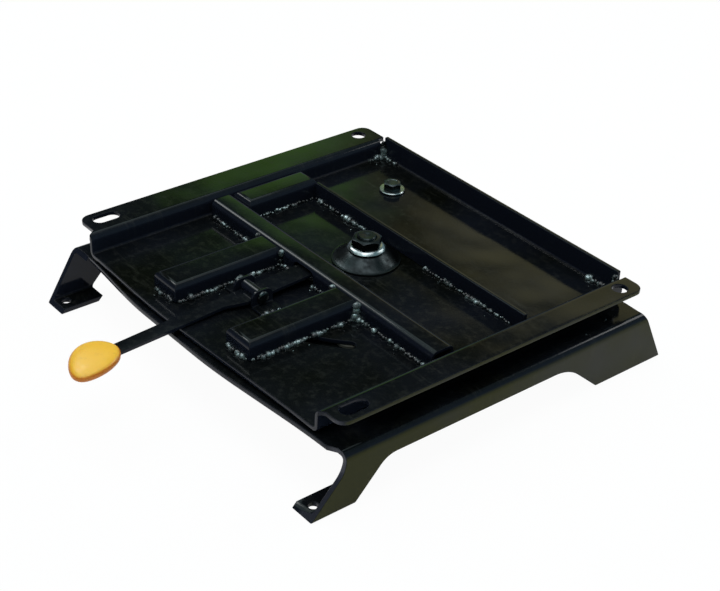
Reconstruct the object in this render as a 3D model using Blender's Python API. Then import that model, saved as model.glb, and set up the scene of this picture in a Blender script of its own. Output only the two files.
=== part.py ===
"""Swivel base for a vehicle seat: a fixed folded frame, a turntable tray and a lock lever.

Metres, +Z up. The front, where the lever comes out, faces -Y.
Every piece is drawn round the swivel axis at X = Y = 0; the last step moves the whole
part so that the bottom centre of its box is the origin.
"""
import math

import bmesh
import bpy
from mathutils import Matrix, Vector

# Fixed frame: one folded sheet
BASE_SHEET = 0.006
BASE_LEFT = 0.219
BASE_RIGHT = 0.252
DECK_TOP = 0.062
DECK_FRONT_LEFT = 0.2345
DECK_FRONT_RIGHT = 0.232
DECK_FRONT_MIDDLE = 0.245
DECK_SHOULDER = 0.33
DECK_HIP = 0.53
DECK_REAR = 0.176
SKIRT_DEPTH = 0.0225
FRONT_FOOT_TOE = 0.266
FRONT_FOOT_HEEL = 0.214
LEFT_FOOT_TOE = 0.272
LEFT_FOOT_HEEL = 0.2245
REAR_FOOT_HEEL = 0.1095
REAR_FOOT_TOE = 0.207
LEG_RAMP = 0.0375
LEG_RADIUS = 0.026
REAR_RAMP = 0.0455
REAR_RADIUS = 0.052
WAIST_FRONT = 0.2265
WAIST_HEIGHT = 0.043
WAIST_RADIUS = 0.030
FOOT_TAB = 0.030
FOOT_CORNER = 0.002
FOOT_HOLE_RADIUS = 0.0052
FOOT_HOLE_SIDE = 0.0155
FOOT_HOLE_INSET = 0.0145

# Turntable tray: one folded sheet
TRAY_SHEET = 0.005
TRAY_GAP = 0.003
TRAY_DEPTH = 0.022
TRAY_LEFT = 0.178
TRAY_RIGHT = 0.209
LEFT_FLANGE = 0.0435
RIGHT_FLANGE = 0.0345
FLANGE_FRONT = 0.227
FLANGE_SLANT = 0.006
FLANGE_SHORT = 0.0005
CORNER_GAP = 0.001
CORNER_DROP = 0.009
CORNER_REACH = 0.004
TRAY_FRONT_LEFT = 0.2355
TRAY_FRONT_RIGHT = 0.2313
TRAY_FRONT_MIDDLE = 0.240
TRAY_SHOULDER = 0.33
TRAY_HIP = 0.36
TRAY_REAR = 0.172
REAR_RISE = 0.0035
FLANGE_CORNER = 0.012
SLOT_WIDTH = 0.0165
SLOT_LENGTH = 0.032
SLOT_END = 0.0265
SEAT_HOLE_RADIUS = 0.0083
SEAT_HOLE_INSET = 0.0155
SEAT_HOLE_END = 0.0175
BEND_RADIUS = 0.003

# Crescent slot in the tray floor
CRESCENT_RADIUS = 0.170
CRESCENT_WIDTH = 0.013
CRESCENT_START = -62.5
CRESCENT_END = -44.5

# Members welded on the tray floor
MEMBER_HEIGHT = 0.0197
MEMBER_SHEET = 0.004
BEAM_FRONT = 0.083
BEAM_WIDTH = 0.029
BEAM_END_GAP = 0.006
NOTCH_GAP = 0.005
NOTCH_RADIUS = 0.006
LEFT_CHANNEL_X = -0.063
RIGHT_CHANNEL_X = 0.0675
CHANNEL_WIDTH = 0.040
CHANNEL_FRONT = 0.218
BLOCK_WIDTH = 0.033
RIB_SHEET = 0.005

# Swivel pivot
BOLT_RADIUS = 0.010
BOLT_FLATS = 0.030
BOLT_HEAD = 0.010
SLEEVE_WALL = 0.0065
SWIVEL_PLAY = 0.0001
CUP_RADIUS = 0.038
CUP_TOP_RADIUS = 0.020
CUP_HEIGHT = 0.0135
CUP_SHEET = 0.003
COLLAR_RADIUS = 0.021
COLLAR_HEIGHT = 0.004
NUT_HEIGHT = 0.009
BOLT_END = 0.0025
RING_INNER = 0.026
RING_OUTER = 0.056
PAD_RADIUS = 0.016
PAD_CIRCLE = 0.150
GLIDE_SHEET = 0.0024

# Small bolt at the left rear of the tray
STOP_X = -0.104
STOP_Y = 0.124
STOP_BOLT_RADIUS = 0.005
STOP_FLATS = 0.019
STOP_HEAD = 0.008
STOP_WASHER_RADIUS = 0.015
STOP_WASHER_SHEET = 0.0025

# Lock lever, its hinge and its lock pin
LEVER_X = -0.004
LEVER_SHEET = 0.004
LEVER_WIDTH = 0.024
LEVER_TIP_WIDTH = 0.020
LEVER_TILT = 3.0
LEVER_PIVOT = 0.148
LEVER_PIVOT_RISE = 0.0115
LEVER_DROP = 0.004
LEVER_END = 0.352
LEVER_END_GAP = 0.0035
LEVER_HEEL_RADIUS = 0.005
LEVER_WAIST_RADIUS = 0.020
LEVER_TIP_RADIUS = 0.004
LOCK_CIRCLE = 0.069
LOCK_PIN_RADIUS = 0.006
LOCK_HOLE_RADIUS = 0.0085
LOCK_NECK_RADIUS = 0.004
LOCK_PIN_GAP = 0.002
LOCK_HEAD = 0.0012
BOSS_RADIUS = 0.0065
HINGE_PIN_RADIUS = 0.004
HINGE_PLAY = 0.00005
EAR_GAP = 0.028
EAR_SHEET = 0.003
EAR_DEPTH = 0.026
EAR_FOOT = 0.016
EAR_RISE = 0.008

# Grip on the lever
GRIP_Y = 0.3405
GRIP_SIDE = 0.0022
GRIP_LENGTH = 0.0323
GRIP_RIGHT = 0.0226
GRIP_LEFT = 0.0246
GRIP_EGG = -0.247
GRIP_HEIGHT = 0.0135
GRIP_TURN = 32.8
GRIP_RISE = 0.0023

# Clearances and edge rounding
SEAT = 0.0003
EDGE = 0.0007
MERGE = 3e-5
CORNER_ANGLE = math.radians(50.0)

TRAY_BOTTOM = DECK_TOP + TRAY_GAP
TRAY_FLOOR = TRAY_BOTTOM + TRAY_SHEET
FLANGE_TOP = TRAY_FLOOR + TRAY_DEPTH
REAR_TOP = FLANGE_TOP + REAR_RISE
MEMBER_BASE = TRAY_FLOOR + SEAT
MEMBER_TOP = MEMBER_BASE + MEMBER_HEIGHT
LEVER_AXIS_Z = TRAY_FLOOR + LEVER_PIVOT_RISE
SLEEVE_RADIUS = BOLT_RADIUS + SEAT + SLEEVE_WALL
TRAY_LEFT_EDGE = TRAY_LEFT + LEFT_FLANGE
TRAY_RIGHT_EDGE = TRAY_RIGHT + RIGHT_FLANGE
FLANGE_REAR = TRAY_REAR + TRAY_SHEET - FLANGE_SHORT
RIB_FRONT = CUP_RADIUS + SEAT


def clear_scene():
    """Remove every object of the open file."""
    for item in list(bpy.data.objects):
        bpy.data.objects.remove(item, do_unlink=True)


def make_material(name, colour, metallic, roughness):
    """A Principled material from a linear colour."""
    material = bpy.data.materials.new(name)
    material.use_nodes = True
    shader = material.node_tree.nodes["Principled BSDF"]
    shader.inputs["Base Color"].default_value = (*colour, 1.0)
    shader.inputs["Metallic"].default_value = metallic
    shader.inputs["Roughness"].default_value = roughness
    return material


def add_object(name, mesh):
    """Link a mesh to the scene under one name."""
    mesh.name = name
    item = bpy.data.objects.new(name, mesh)
    bpy.context.scene.collection.objects.link(item)
    return item


def arc(centre, radius, start, end, steps=8):
    """Points on a circle between two angles in degrees."""
    points = []
    for step in range(steps + 1):
        angle = math.radians(start + (end - start) * step / steps)
        points.append((centre[0] + radius * math.cos(angle), centre[1] + radius * math.sin(angle)))
    return points


def fillet(points, radii, steps=6):
    """A closed outline with each corner rounded by its own radius."""
    outline = []
    count = len(points)
    for index, point in enumerate(points):
        radius = radii[index]
        corner = Vector(point)
        if radius <= 0.0:
            outline.append((corner.x, corner.y))
            continue
        before = (Vector(points[index - 1]) - corner).normalized()
        after = (Vector(points[(index + 1) % count]) - corner).normalized()
        half = before.angle(after) / 2.0
        centre = corner + (before + after).normalized() * (radius / math.sin(half))
        first = corner + before * (radius / math.tan(half)) - centre
        last = corner + after * (radius / math.tan(half)) - centre
        turn = first.angle_signed(last)
        for step in range(steps + 1):
            spoke = first.copy()
            spoke.rotate(Matrix.Rotation(-turn * step / steps, 2))
            outline.append((centre.x + spoke.x, centre.y + spoke.y))
    return outline


def folded(points, thickness, inner_radius, steps=6):
    """The outline of a sheet folded along an open line through its middle."""
    radius = inner_radius + thickness / 2.0
    spine = []
    last = len(points) - 1
    for index, point in enumerate(points):
        here = Vector(point)
        if index == 0:
            spine.append((here, (Vector(points[1]) - here).normalized()))
            continue
        if index == last:
            spine.append((here, (here - Vector(points[last - 1])).normalized()))
            continue
        before = (here - Vector(points[index - 1])).normalized()
        after = (Vector(points[index + 1]) - here).normalized()
        turn = before.angle_signed(after)
        reach = radius * math.tan(abs(turn) / 2.0)
        for step in range(steps + 1):
            spin = Matrix.Rotation(-turn * step / steps, 2)
            direction = before.copy()
            direction.rotate(spin)
            side = Vector((-before.y, before.x)) * (1.0 if turn < 0.0 else -1.0)
            centre = here - before * reach + side * radius
            spoke = -side * radius
            spoke.rotate(spin)
            spine.append((centre + spoke, direction))
    left = []
    right = []
    for place, direction in spine:
        normal = Vector((-direction.y, direction.x)) * (thickness / 2.0)
        left.append(tuple(place + normal))
        right.append(tuple(place - normal))
    return left + right[::-1]


def prism(name, outline, axis, low, high):
    """Extrude a closed outline along X, Y or Z between two planes."""
    order = {"X": (2, 0, 1), "Y": (0, 2, 1), "Z": (0, 1, 2)}[axis]
    shell = bmesh.new()
    bottom = []
    for first, second in outline:
        source = (first, second, low)
        bottom.append(shell.verts.new([source[place] for place in order]))
    face = shell.faces.new(bottom)
    top = bmesh.ops.extrude_face_region(shell, geom=[face])["geom"]
    shift = [0.0, 0.0, 0.0]
    shift["XYZ".index(axis)] = high - low
    moved = [item for item in top if isinstance(item, bmesh.types.BMVert)]
    bmesh.ops.translate(shell, verts=moved, vec=shift)
    return finish_shell(name, shell)


def finish_shell(name, shell):
    """Turn a bmesh into an object with its faces pointing out."""
    bmesh.ops.remove_doubles(shell, verts=shell.verts, dist=1e-7)
    bmesh.ops.recalc_face_normals(shell, faces=shell.faces)
    if shell.calc_volume(signed=True) < 0.0:
        bmesh.ops.reverse_faces(shell, faces=shell.faces)
    mesh = bpy.data.meshes.new(name)
    shell.to_mesh(mesh)
    shell.free()
    return add_object(name, mesh)


def turned(name, profile, centre=(0.0, 0.0), steps=48):
    """Turn a closed profile of radius and height round a vertical axis."""
    shell = bmesh.new()
    line = []
    for radius, height in profile:
        line.append(shell.verts.new((centre[0] + radius, centre[1], height)))
    edges = []
    for index in range(len(profile)):
        if profile[index - 1][0] > 0.0 or profile[index][0] > 0.0:
            edges.append(shell.edges.new((line[index - 1], line[index])))
    bmesh.ops.spin(
        shell, geom=line + edges, cent=(centre[0], centre[1], 0.0), axis=(0.0, 0.0, 1.0),
        angle=math.tau, steps=steps, use_merge=True, use_duplicate=False,
    )
    bmesh.ops.remove_doubles(shell, verts=shell.verts, dist=1e-7)
    bmesh.ops.dissolve_degenerate(shell, edges=shell.edges, dist=1e-7)
    return finish_shell(name, shell)


def rod(name, radius, low, high, centre=(0.0, 0.0), steps=32):
    """A plain round bar along Z."""
    return prism(name, arc(centre, radius, 0.0, 360.0 - 360.0 / steps, steps - 1), "Z", low, high)


def cross_rod(name, radius, low, high, centre, steps=32):
    """A plain round bar along X, with its centre given as Y and Z."""
    return prism(name, arc(centre, radius, 0.0, 360.0 - 360.0 / steps, steps - 1), "X", low, high)


def hexagon(flats, centre=(0.0, 0.0), turn=0.0):
    """The six corners of a hexagon measured across its flats."""
    return arc(centre, flats / math.sqrt(3.0), turn, turn + 300.0, 5)


def combine(body, tool, operation):
    """Apply one Boolean step and delete its tool."""
    step = body.modifiers.new(operation, "BOOLEAN")
    step.operation = operation
    step.object = tool
    step.solver = "EXACT"
    graph = bpy.context.evaluated_depsgraph_get()
    mesh = bpy.data.meshes.new_from_object(body.evaluated_get(graph))
    body.modifiers.clear()
    body.data = mesh
    bpy.data.objects.remove(tool, do_unlink=True)
    return body


def cut(body, tool):
    """Take a tool's shape out of a body."""
    return combine(body, tool, "DIFFERENCE")


def join(body, tool):
    """Fuse a tool's shape to a body."""
    return combine(body, tool, "UNION")


def keep(body, tool):
    """Keep what lies inside a tool's shape."""
    return combine(body, tool, "INTERSECT")


def close_seams(shell, reach=1e-6):
    """Split open edges at the corners that lie on them, so that merging closes the seam."""
    edges = [line for line in shell.edges if len(line.link_faces) == 1]
    corners = {vertex for line in edges for vertex in line.verts}
    for line in edges:
        start, end = line.verts
        along = end.co - start.co
        for vertex in corners - {start, end}:
            share = (vertex.co - start.co).dot(along) / along.length_squared
            if 0.0 < share < 1.0 and (start.co + along * share - vertex.co).length < reach:
                bmesh.utils.edge_split(line, start, share)
                break
    bmesh.ops.remove_doubles(shell, verts=shell.verts, dist=MERGE)


def tidy(item, material, edge=EDGE, smooth=30.0):
    """Clean the mesh, give it a material and a fine rounding on its outer corners."""
    shell = bmesh.new()
    shell.from_mesh(item.data)
    bmesh.ops.remove_doubles(shell, verts=shell.verts, dist=MERGE)
    close_seams(shell)
    bmesh.ops.dissolve_limit(
        shell, angle_limit=math.radians(0.5), verts=shell.verts, edges=shell.edges,
        delimit={"NORMAL"},
    )
    weight = shell.edges.layers.float.new("bevel_weight_edge")
    for line in shell.edges:
        corner = line.is_convex and line.calc_face_angle() > CORNER_ANGLE
        line[weight] = 1.0 if corner else 0.0
    shell.to_mesh(item.data)
    shell.free()
    item.data.name = item.name
    item.data.materials.clear()
    item.data.materials.append(material)
    item.data.shade_smooth()
    item.data.set_sharp_from_angle(angle=math.radians(smooth))
    if edge > 0.0:
        bevel = item.modifiers.new("Edge", "BEVEL")
        bevel.width = edge
        bevel.segments = 1
        bevel.limit_method = "WEIGHT"
        bevel.use_clamp_overlap = False
    return item


def ramp(value, start, end):
    """A smooth step from 0 to 1 between two places."""
    share = min(1.0, max(0.0, (value - start) / (end - start)))
    return share * share * (3.0 - 2.0 * share)


def bowed_front(edges, fronts, bends, steps=40):
    """Points of a front edge that bulges forward round the lever."""
    left, right = edges
    left_front, middle, right_front = fronts
    points = []
    shoulder = left + (right - left) * bends[0]
    hip = left + (right - left) * bends[1]
    for step in range(steps + 1):
        x = left + (right - left) * step / steps
        front = left_front + (middle - left_front) * ramp(x, left, shoulder)
        front += (right_front - middle) * ramp(x, hip, right)
        points.append((x, -front))
    return points


def leg_outline(deck_front, toe, heel, waist):
    """Side view of the frame: front leg, arched skirt, rear leg and top edge."""
    skirt = DECK_TOP - SKIRT_DEPTH
    over = DECK_TOP + BASE_SHEET
    front_lean = (toe - deck_front) / DECK_TOP
    rear_lean = (REAR_FOOT_TOE - DECK_REAR) / DECK_TOP
    corners = [
        (-toe, 0.0),
        (-heel, 0.0),
        (-heel + LEG_RAMP, skirt),
        (REAR_FOOT_HEEL - REAR_RAMP, skirt),
        (REAR_FOOT_HEEL, 0.0),
        (REAR_FOOT_TOE, 0.0),
        (REAR_FOOT_TOE - rear_lean * over, over),
    ]
    radii = [0.0, 0.0, LEG_RADIUS, REAR_RADIUS, 0.0, 0.0, 0.0, 0.0]
    if waist:
        corners += [(-deck_front, over), (-deck_front, WAIST_HEIGHT)]
        radii.append(WAIST_RADIUS)
    else:
        corners.append((-toe + front_lean * over, over))
    return fillet(corners, radii, steps=8)


def frame_side(name, outer, inward, deck_front, toe, heel, waist):
    """One folded side: foot tab, leg sheet and the start of the deck."""
    tab = outer + inward * FOOT_TAB
    inner = outer + inward * BASE_SHEET
    corners = [
        (tab, 0.0), (outer, 0.0), (outer, DECK_TOP), (tab, DECK_TOP),
        (tab, DECK_TOP - BASE_SHEET), (inner, DECK_TOP - BASE_SHEET),
        (inner, BASE_SHEET), (tab, BASE_SHEET),
    ]
    bend = BEND_RADIUS + BASE_SHEET
    section = fillet(corners, [0.0, FOOT_CORNER, bend, 0.0, 0.0, BEND_RADIUS, BEND_RADIUS, 0.0])
    side = prism(name, section, "Y", -toe - BASE_SHEET, REAR_FOOT_TOE + BASE_SHEET)
    low = min(outer, tab) - BASE_SHEET
    high = max(outer, tab) + BASE_SHEET
    return keep(side, prism("Outline", leg_outline(deck_front, toe, heel, waist), "X", low, high))


def build_base(material):
    """The fixed frame with its deck, skirts, legs, foot tabs and holes."""
    frame = frame_side("base_frame", BASE_RIGHT, -1.0, WAIST_FRONT, FRONT_FOOT_TOE,
                       FRONT_FOOT_HEEL, True)
    join(frame, frame_side("Left side", -BASE_LEFT, 1.0, DECK_FRONT_LEFT, LEFT_FOOT_TOE,
                           LEFT_FOOT_HEEL, False))
    flat = BASE_SHEET + 2.0 * BEND_RADIUS
    left = -BASE_LEFT + flat
    right = BASE_RIGHT - flat
    fronts = (DECK_FRONT_LEFT, DECK_FRONT_MIDDLE, DECK_FRONT_RIGHT)
    front = bowed_front((left, right), fronts, (DECK_SHOULDER, DECK_HIP))
    front[-1] = (right, -WAIST_FRONT + CORNER_GAP)
    plan = front + [(right, DECK_REAR), (left, DECK_REAR)]
    join(frame, prism("Deck", plan, "Z", DECK_TOP - BASE_SHEET, DECK_TOP))
    cut(frame, rod("Hole", BOLT_RADIUS + SEAT, DECK_TOP - 2.0 * BASE_SHEET, DECK_TOP + BASE_SHEET))
    lock_angle = math.atan2(-LOCK_CIRCLE, LEVER_X)
    for quarter in range(4):
        angle = lock_angle + quarter * math.pi / 2.0
        reach = math.hypot(LEVER_X, LOCK_CIRCLE)
        centre = (reach * math.cos(angle), reach * math.sin(angle))
        cut(frame, rod("Hole", LOCK_HOLE_RADIUS, DECK_TOP - 2.0 * BASE_SHEET,
                       DECK_TOP + BASE_SHEET, centre))
    sides = ((-BASE_LEFT + FOOT_HOLE_SIDE, LEFT_FOOT_TOE), (BASE_RIGHT - FOOT_HOLE_SIDE, FRONT_FOOT_TOE))
    for x, toe in sides:
        for y in (-toe + FOOT_HOLE_INSET, REAR_FOOT_TOE - FOOT_TAB):
            cut(frame, rod("Hole", FOOT_HOLE_RADIUS, -BASE_SHEET, 2.0 * BASE_SHEET, (x, y)))
    return tidy(frame, material)


def tray_plan():
    """Plan of the tray: flange corners, bowed floor edge and rear wall."""
    left = -TRAY_LEFT - TRAY_SHEET
    right = TRAY_RIGHT + TRAY_SHEET
    wall_rear = TRAY_REAR + 2.0 * TRAY_SHEET
    fronts = (TRAY_FRONT_LEFT, TRAY_FRONT_MIDDLE, TRAY_FRONT_RIGHT)
    front = bowed_front((left, right), fronts, (TRAY_SHOULDER, TRAY_HIP))
    corners = [(-TRAY_LEFT_EDGE, FLANGE_REAR), (-TRAY_LEFT_EDGE, -FLANGE_FRONT)]
    corners += [(left - FLANGE_SLANT, -FLANGE_FRONT)] + front
    corners += [
        (right + FLANGE_SLANT, -FLANGE_FRONT), (TRAY_RIGHT_EDGE, -FLANGE_FRONT),
        (TRAY_RIGHT_EDGE, FLANGE_REAR), (TRAY_RIGHT, FLANGE_REAR), (TRAY_RIGHT, wall_rear),
        (-TRAY_LEFT, wall_rear), (-TRAY_LEFT, FLANGE_REAR),
    ]
    radii = [FLANGE_CORNER, FLANGE_CORNER] + [0.0] * (len(front) + 2)
    radii += [FLANGE_CORNER, FLANGE_CORNER, 0.0, 0.0, 0.0, 0.0]
    return fillet(corners, radii)


def slot_outline(centre, length, width):
    """A straight slot that runs along Y."""
    straight = (length - width) / 2.0
    top = arc((centre[0], centre[1] + straight), width / 2.0, 0.0, 180.0)
    bottom = arc((centre[0], centre[1] - straight), width / 2.0, 180.0, 360.0)
    return top + bottom


def crescent_outline():
    """A slot bent round the swivel axis."""
    inner = CRESCENT_RADIUS - CRESCENT_WIDTH / 2.0
    outer = CRESCENT_RADIUS + CRESCENT_WIDTH / 2.0
    start = math.radians(CRESCENT_START)
    end = math.radians(CRESCENT_END)
    first = (CRESCENT_RADIUS * math.cos(start), CRESCENT_RADIUS * math.sin(start))
    last = (CRESCENT_RADIUS * math.cos(end), CRESCENT_RADIUS * math.sin(end))
    points = arc((0.0, 0.0), outer, CRESCENT_START, CRESCENT_END, 10)
    points += arc(last, CRESCENT_WIDTH / 2.0, CRESCENT_END, CRESCENT_END + 180.0)[1:-1]
    points += arc((0.0, 0.0), inner, CRESCENT_END, CRESCENT_START, 10)
    points += arc(first, CRESCENT_WIDTH / 2.0, CRESCENT_START + 180.0, CRESCENT_START + 360.0)[1:-1]
    return points


def build_tray(material):
    """The turntable tray with flanges, side walls, rear wall and its holes."""
    half = TRAY_SHEET / 2.0
    left = -TRAY_LEFT - half
    right = TRAY_RIGHT + half
    section = [
        (-TRAY_LEFT_EDGE, FLANGE_TOP - half), (left, FLANGE_TOP - half),
        (left, TRAY_BOTTOM + half), (right, TRAY_BOTTOM + half),
        (right, FLANGE_TOP - half), (TRAY_RIGHT_EDGE, FLANGE_TOP - half),
    ]
    outline = folded(section, TRAY_SHEET, BEND_RADIUS)
    tray = prism("seat_tray", outline, "Y", -TRAY_FRONT_MIDDLE - TRAY_SHEET, FLANGE_REAR)
    outer = BEND_RADIUS + TRAY_SHEET
    over = REAR_TOP + TRAY_SHEET
    under = TRAY_BOTTOM - TRAY_SHEET
    heel = arc((FLANGE_REAR - outer, TRAY_BOTTOM + outer), outer, -90.0, 0.0, 6)[1:-1]
    side = [(-2.0 * TRAY_FRONT_MIDDLE, under), (FLANGE_REAR - outer, under)] + heel
    side += [(FLANGE_REAR + FLANGE_SHORT / 5.0, TRAY_BOTTOM + outer),
             (FLANGE_REAR + FLANGE_SHORT / 5.0, over), (-2.0 * TRAY_FRONT_MIDDLE, over)]
    keep(tray, prism("Side", side, "X", -TRAY_LEFT_EDGE - outer, TRAY_RIGHT_EDGE + outer))
    wall_y = TRAY_REAR + half
    wall = [(TRAY_REAR - 6.0 * TRAY_SHEET, TRAY_BOTTOM + half), (wall_y, TRAY_BOTTOM + half),
            (wall_y, REAR_TOP)]
    lap = TRAY_SHEET / 5.0
    rear = prism("Rear wall", folded(wall, TRAY_SHEET, BEND_RADIUS), "X",
                 -TRAY_LEFT - lap, TRAY_RIGHT + lap)
    envelope = fillet(
        [(-TRAY_LEFT - TRAY_SHEET, TRAY_BOTTOM), (TRAY_RIGHT + TRAY_SHEET, TRAY_BOTTOM),
         (TRAY_RIGHT + TRAY_SHEET, over), (-TRAY_LEFT - TRAY_SHEET, over)],
        [outer, outer, 0.0, 0.0])
    keep(rear, prism("Envelope", envelope, "Y", 0.0, TRAY_REAR + 4.0 * TRAY_SHEET))
    join(tray, rear)
    through = (under, over)
    keep(tray, prism("Plan", tray_plan(), "Z", *through))
    for wall, inner in ((-TRAY_LEFT - TRAY_SHEET, -TRAY_LEFT), (TRAY_RIGHT + TRAY_SHEET, TRAY_RIGHT)):
        way = math.copysign(CORNER_GAP, wall)
        low, high = sorted((wall + way, inner - way))
        gap = [(low, TRAY_REAR - CORNER_REACH), (high, TRAY_REAR - CORNER_REACH),
               (high, TRAY_REAR + 2.0 * TRAY_SHEET), (low, TRAY_REAR + 2.0 * TRAY_SHEET)]
        cut(tray, prism("Gap", gap, "Z", FLANGE_TOP - CORNER_DROP, over))
    for x in (-TRAY_LEFT_EDGE + SEAT_HOLE_INSET, TRAY_RIGHT_EDGE - SEAT_HOLE_INSET):
        slot = slot_outline((x, -FLANGE_FRONT + SLOT_END), SLOT_LENGTH, SLOT_WIDTH)
        cut(tray, prism("Slot", slot, "Z", *through))
        cut(tray, rod("Hole", SEAT_HOLE_RADIUS, *through, (x, TRAY_REAR - SEAT_HOLE_END)))
    cut(tray, prism("Crescent", crescent_outline(), "Z", *through))
    cut(tray, rod("Hole", SLEEVE_RADIUS + SWIVEL_PLAY, *through, steps=48))
    cut(tray, rod("Hole", LOCK_HOLE_RADIUS, *through, (LEVER_X, -LOCK_CIRCLE)))
    cut(tray, rod("Hole", STOP_BOLT_RADIUS + SEAT, *through, (STOP_X, STOP_Y)))
    return tidy(tray, material)


def build_beam(material):
    """The cross beam: an upturned channel with a notch for the lever."""
    half = MEMBER_SHEET / 2.0
    front = -BEAM_FRONT + half
    rear = -BEAM_FRONT + BEAM_WIDTH - half
    line = [(front, MEMBER_BASE), (front, MEMBER_TOP - half), (rear, MEMBER_TOP - half),
            (rear, MEMBER_BASE)]
    beam = prism("cross_beam", folded(line, MEMBER_SHEET, BEND_RADIUS), "X",
                 -TRAY_LEFT + BEND_RADIUS + 2.0 * SEAT, TRAY_RIGHT - BEAM_END_GAP)
    wide = LEVER_WIDTH / 2.0 + NOTCH_GAP
    roof = MEMBER_TOP - MEMBER_SHEET
    notch = fillet(
        [(LEVER_X - wide, TRAY_BOTTOM), (LEVER_X + wide, TRAY_BOTTOM),
         (LEVER_X + wide, roof), (LEVER_X - wide, roof)],
        [0.0, 0.0, NOTCH_RADIUS, NOTCH_RADIUS])
    cut(beam, prism("Notch", notch, "Y", -BEAM_FRONT - MEMBER_SHEET, -BEAM_FRONT + 1.5 * MEMBER_SHEET))
    return tidy(beam, material)


def closed_channel(name, left, right, front, rear, top, material, open_rear=False):
    """An upturned channel with closed, rounded ends, or with its rear end left open."""
    outer = BEND_RADIUS + MEMBER_SHEET
    section = fillet(
        [(left, MEMBER_BASE), (right, MEMBER_BASE), (right, top), (left, top)],
        [0.0, 0.0, outer, outer])
    channel = prism(name, section, "Y", front, rear)
    side = fillet(
        [(front, MEMBER_BASE), (rear, MEMBER_BASE), (rear, top), (front, top)],
        [0.0, 0.0, 0.0 if open_rear else outer, outer])
    keep(channel, prism("Side", side, "X", left - outer, right + outer))
    room = fillet(
        [(left + MEMBER_SHEET, TRAY_BOTTOM), (right - MEMBER_SHEET, TRAY_BOTTOM),
         (right - MEMBER_SHEET, top - MEMBER_SHEET), (left + MEMBER_SHEET, top - MEMBER_SHEET)],
        [0.0, 0.0, BEND_RADIUS, BEND_RADIUS])
    room_rear = rear + MEMBER_SHEET if open_rear else rear - MEMBER_SHEET
    cut(channel, prism("Room", room, "Y", front + MEMBER_SHEET, room_rear))
    return tidy(channel, material)


def build_channels(material):
    """The two lengthwise channels that butt against the cross beam, and the side block."""
    half = CHANNEL_WIDTH / 2.0
    rear = -BEAM_FRONT - SEAT
    for name, centre in (("left_channel", LEFT_CHANNEL_X), ("right_channel", RIGHT_CHANNEL_X)):
        closed_channel(name, centre - half, centre + half, -CHANNEL_FRONT, rear, MEMBER_TOP,
                       material, open_rear=True)
    left = -TRAY_LEFT + BEND_RADIUS + 2.0 * SEAT
    front = -BEAM_FRONT + BEAM_WIDTH + SEAT
    closed_channel("side_block", left, left + BLOCK_WIDTH, front, RIB_FRONT + RIB_SHEET,
                   FLANGE_TOP, material)


def build_rib(material):
    """The upright rear rib from the side block to the right wall."""
    left = -TRAY_LEFT + BEND_RADIUS + 3.0 * SEAT + BLOCK_WIDTH
    right = TRAY_RIGHT - BEND_RADIUS - 2.0 * SEAT
    outline = [(left, MEMBER_BASE), (right, MEMBER_BASE), (right, MEMBER_TOP), (left, MEMBER_TOP)]
    return tidy(prism("rear_rib", outline, "Y", RIB_FRONT, RIB_FRONT + RIB_SHEET), material)


def build_pivot(steel, zinc, nylon):
    """Bolt, sleeve, pressed cup, collar and nut on the swivel axis, and the glide pieces."""
    hex_low = DECK_TOP - BASE_SHEET - SEAT - BOLT_HEAD
    cup_base = TRAY_FLOOR + SEAT
    cup_top = cup_base + CUP_HEIGHT
    collar_base = cup_top + SEAT
    nut_base = collar_base + COLLAR_HEIGHT + SEAT
    bolt_top = nut_base + NUT_HEIGHT + BOLT_END
    bolt = prism("pivot_bolt", hexagon(BOLT_FLATS), "Z", hex_low, hex_low + BOLT_HEAD)
    join(bolt, rod("Shank", BOLT_RADIUS, hex_low + BOLT_HEAD / 2.0, bolt_top))
    tidy(bolt, steel)
    inner = BOLT_RADIUS + SEAT
    sleeve_low = DECK_TOP + SEAT
    sleeve_high = cup_top - CUP_SHEET - SEAT
    sleeve = turned("pivot_sleeve", [(inner, sleeve_low), (SLEEVE_RADIUS, sleeve_low),
                                     (SLEEVE_RADIUS, sleeve_high), (inner, sleeve_high)])
    tidy(sleeve, steel, 0.0)
    step = CUP_SHEET
    cup = turned("pivot_cup", [
        (inner, cup_top - step), (CUP_TOP_RADIUS - step * 0.6, cup_top - step),
        (CUP_RADIUS - 2.4 * step, cup_base), (CUP_RADIUS, cup_base),
        (CUP_RADIUS, cup_base + step * 0.5), (CUP_RADIUS - step * 1.2, cup_base + step * 0.8),
        (CUP_TOP_RADIUS + step * 0.4, cup_top - step * 0.3), (CUP_TOP_RADIUS, cup_top),
        (inner, cup_top)])
    tidy(cup, steel, 0.0)
    lip = COLLAR_HEIGHT / 4.0
    high = collar_base + COLLAR_HEIGHT
    collar = turned("pivot_collar", [
        (inner, collar_base), (COLLAR_RADIUS - lip, collar_base), (COLLAR_RADIUS, collar_base + lip),
        (COLLAR_RADIUS, high - lip), (COLLAR_RADIUS - lip, high), (inner, high)])
    tidy(collar, zinc, 0.0)
    nut = prism("pivot_nut", hexagon(BOLT_FLATS, turn=9.0), "Z", nut_base, nut_base + NUT_HEIGHT)
    cut(nut, rod("Hole", inner, nut_base - NUT_HEIGHT, nut_base + 2.0 * NUT_HEIGHT))
    tidy(nut, zinc)
    low = DECK_TOP + SEAT
    ring = turned("glide_ring", [(RING_INNER, low), (RING_OUTER, low),
                                 (RING_OUTER, low + GLIDE_SHEET), (RING_INNER, low + GLIDE_SHEET)])
    tidy(ring, nylon, 0.0)
    for index in range(4):
        angle = math.radians(45.0 + 90.0 * index)
        centre = (PAD_CIRCLE * math.cos(angle), PAD_CIRCLE * math.sin(angle))
        tidy(rod(f"glide_pad_{index + 1}", PAD_RADIUS, low, low + GLIDE_SHEET, centre), nylon, 0.0)


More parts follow.
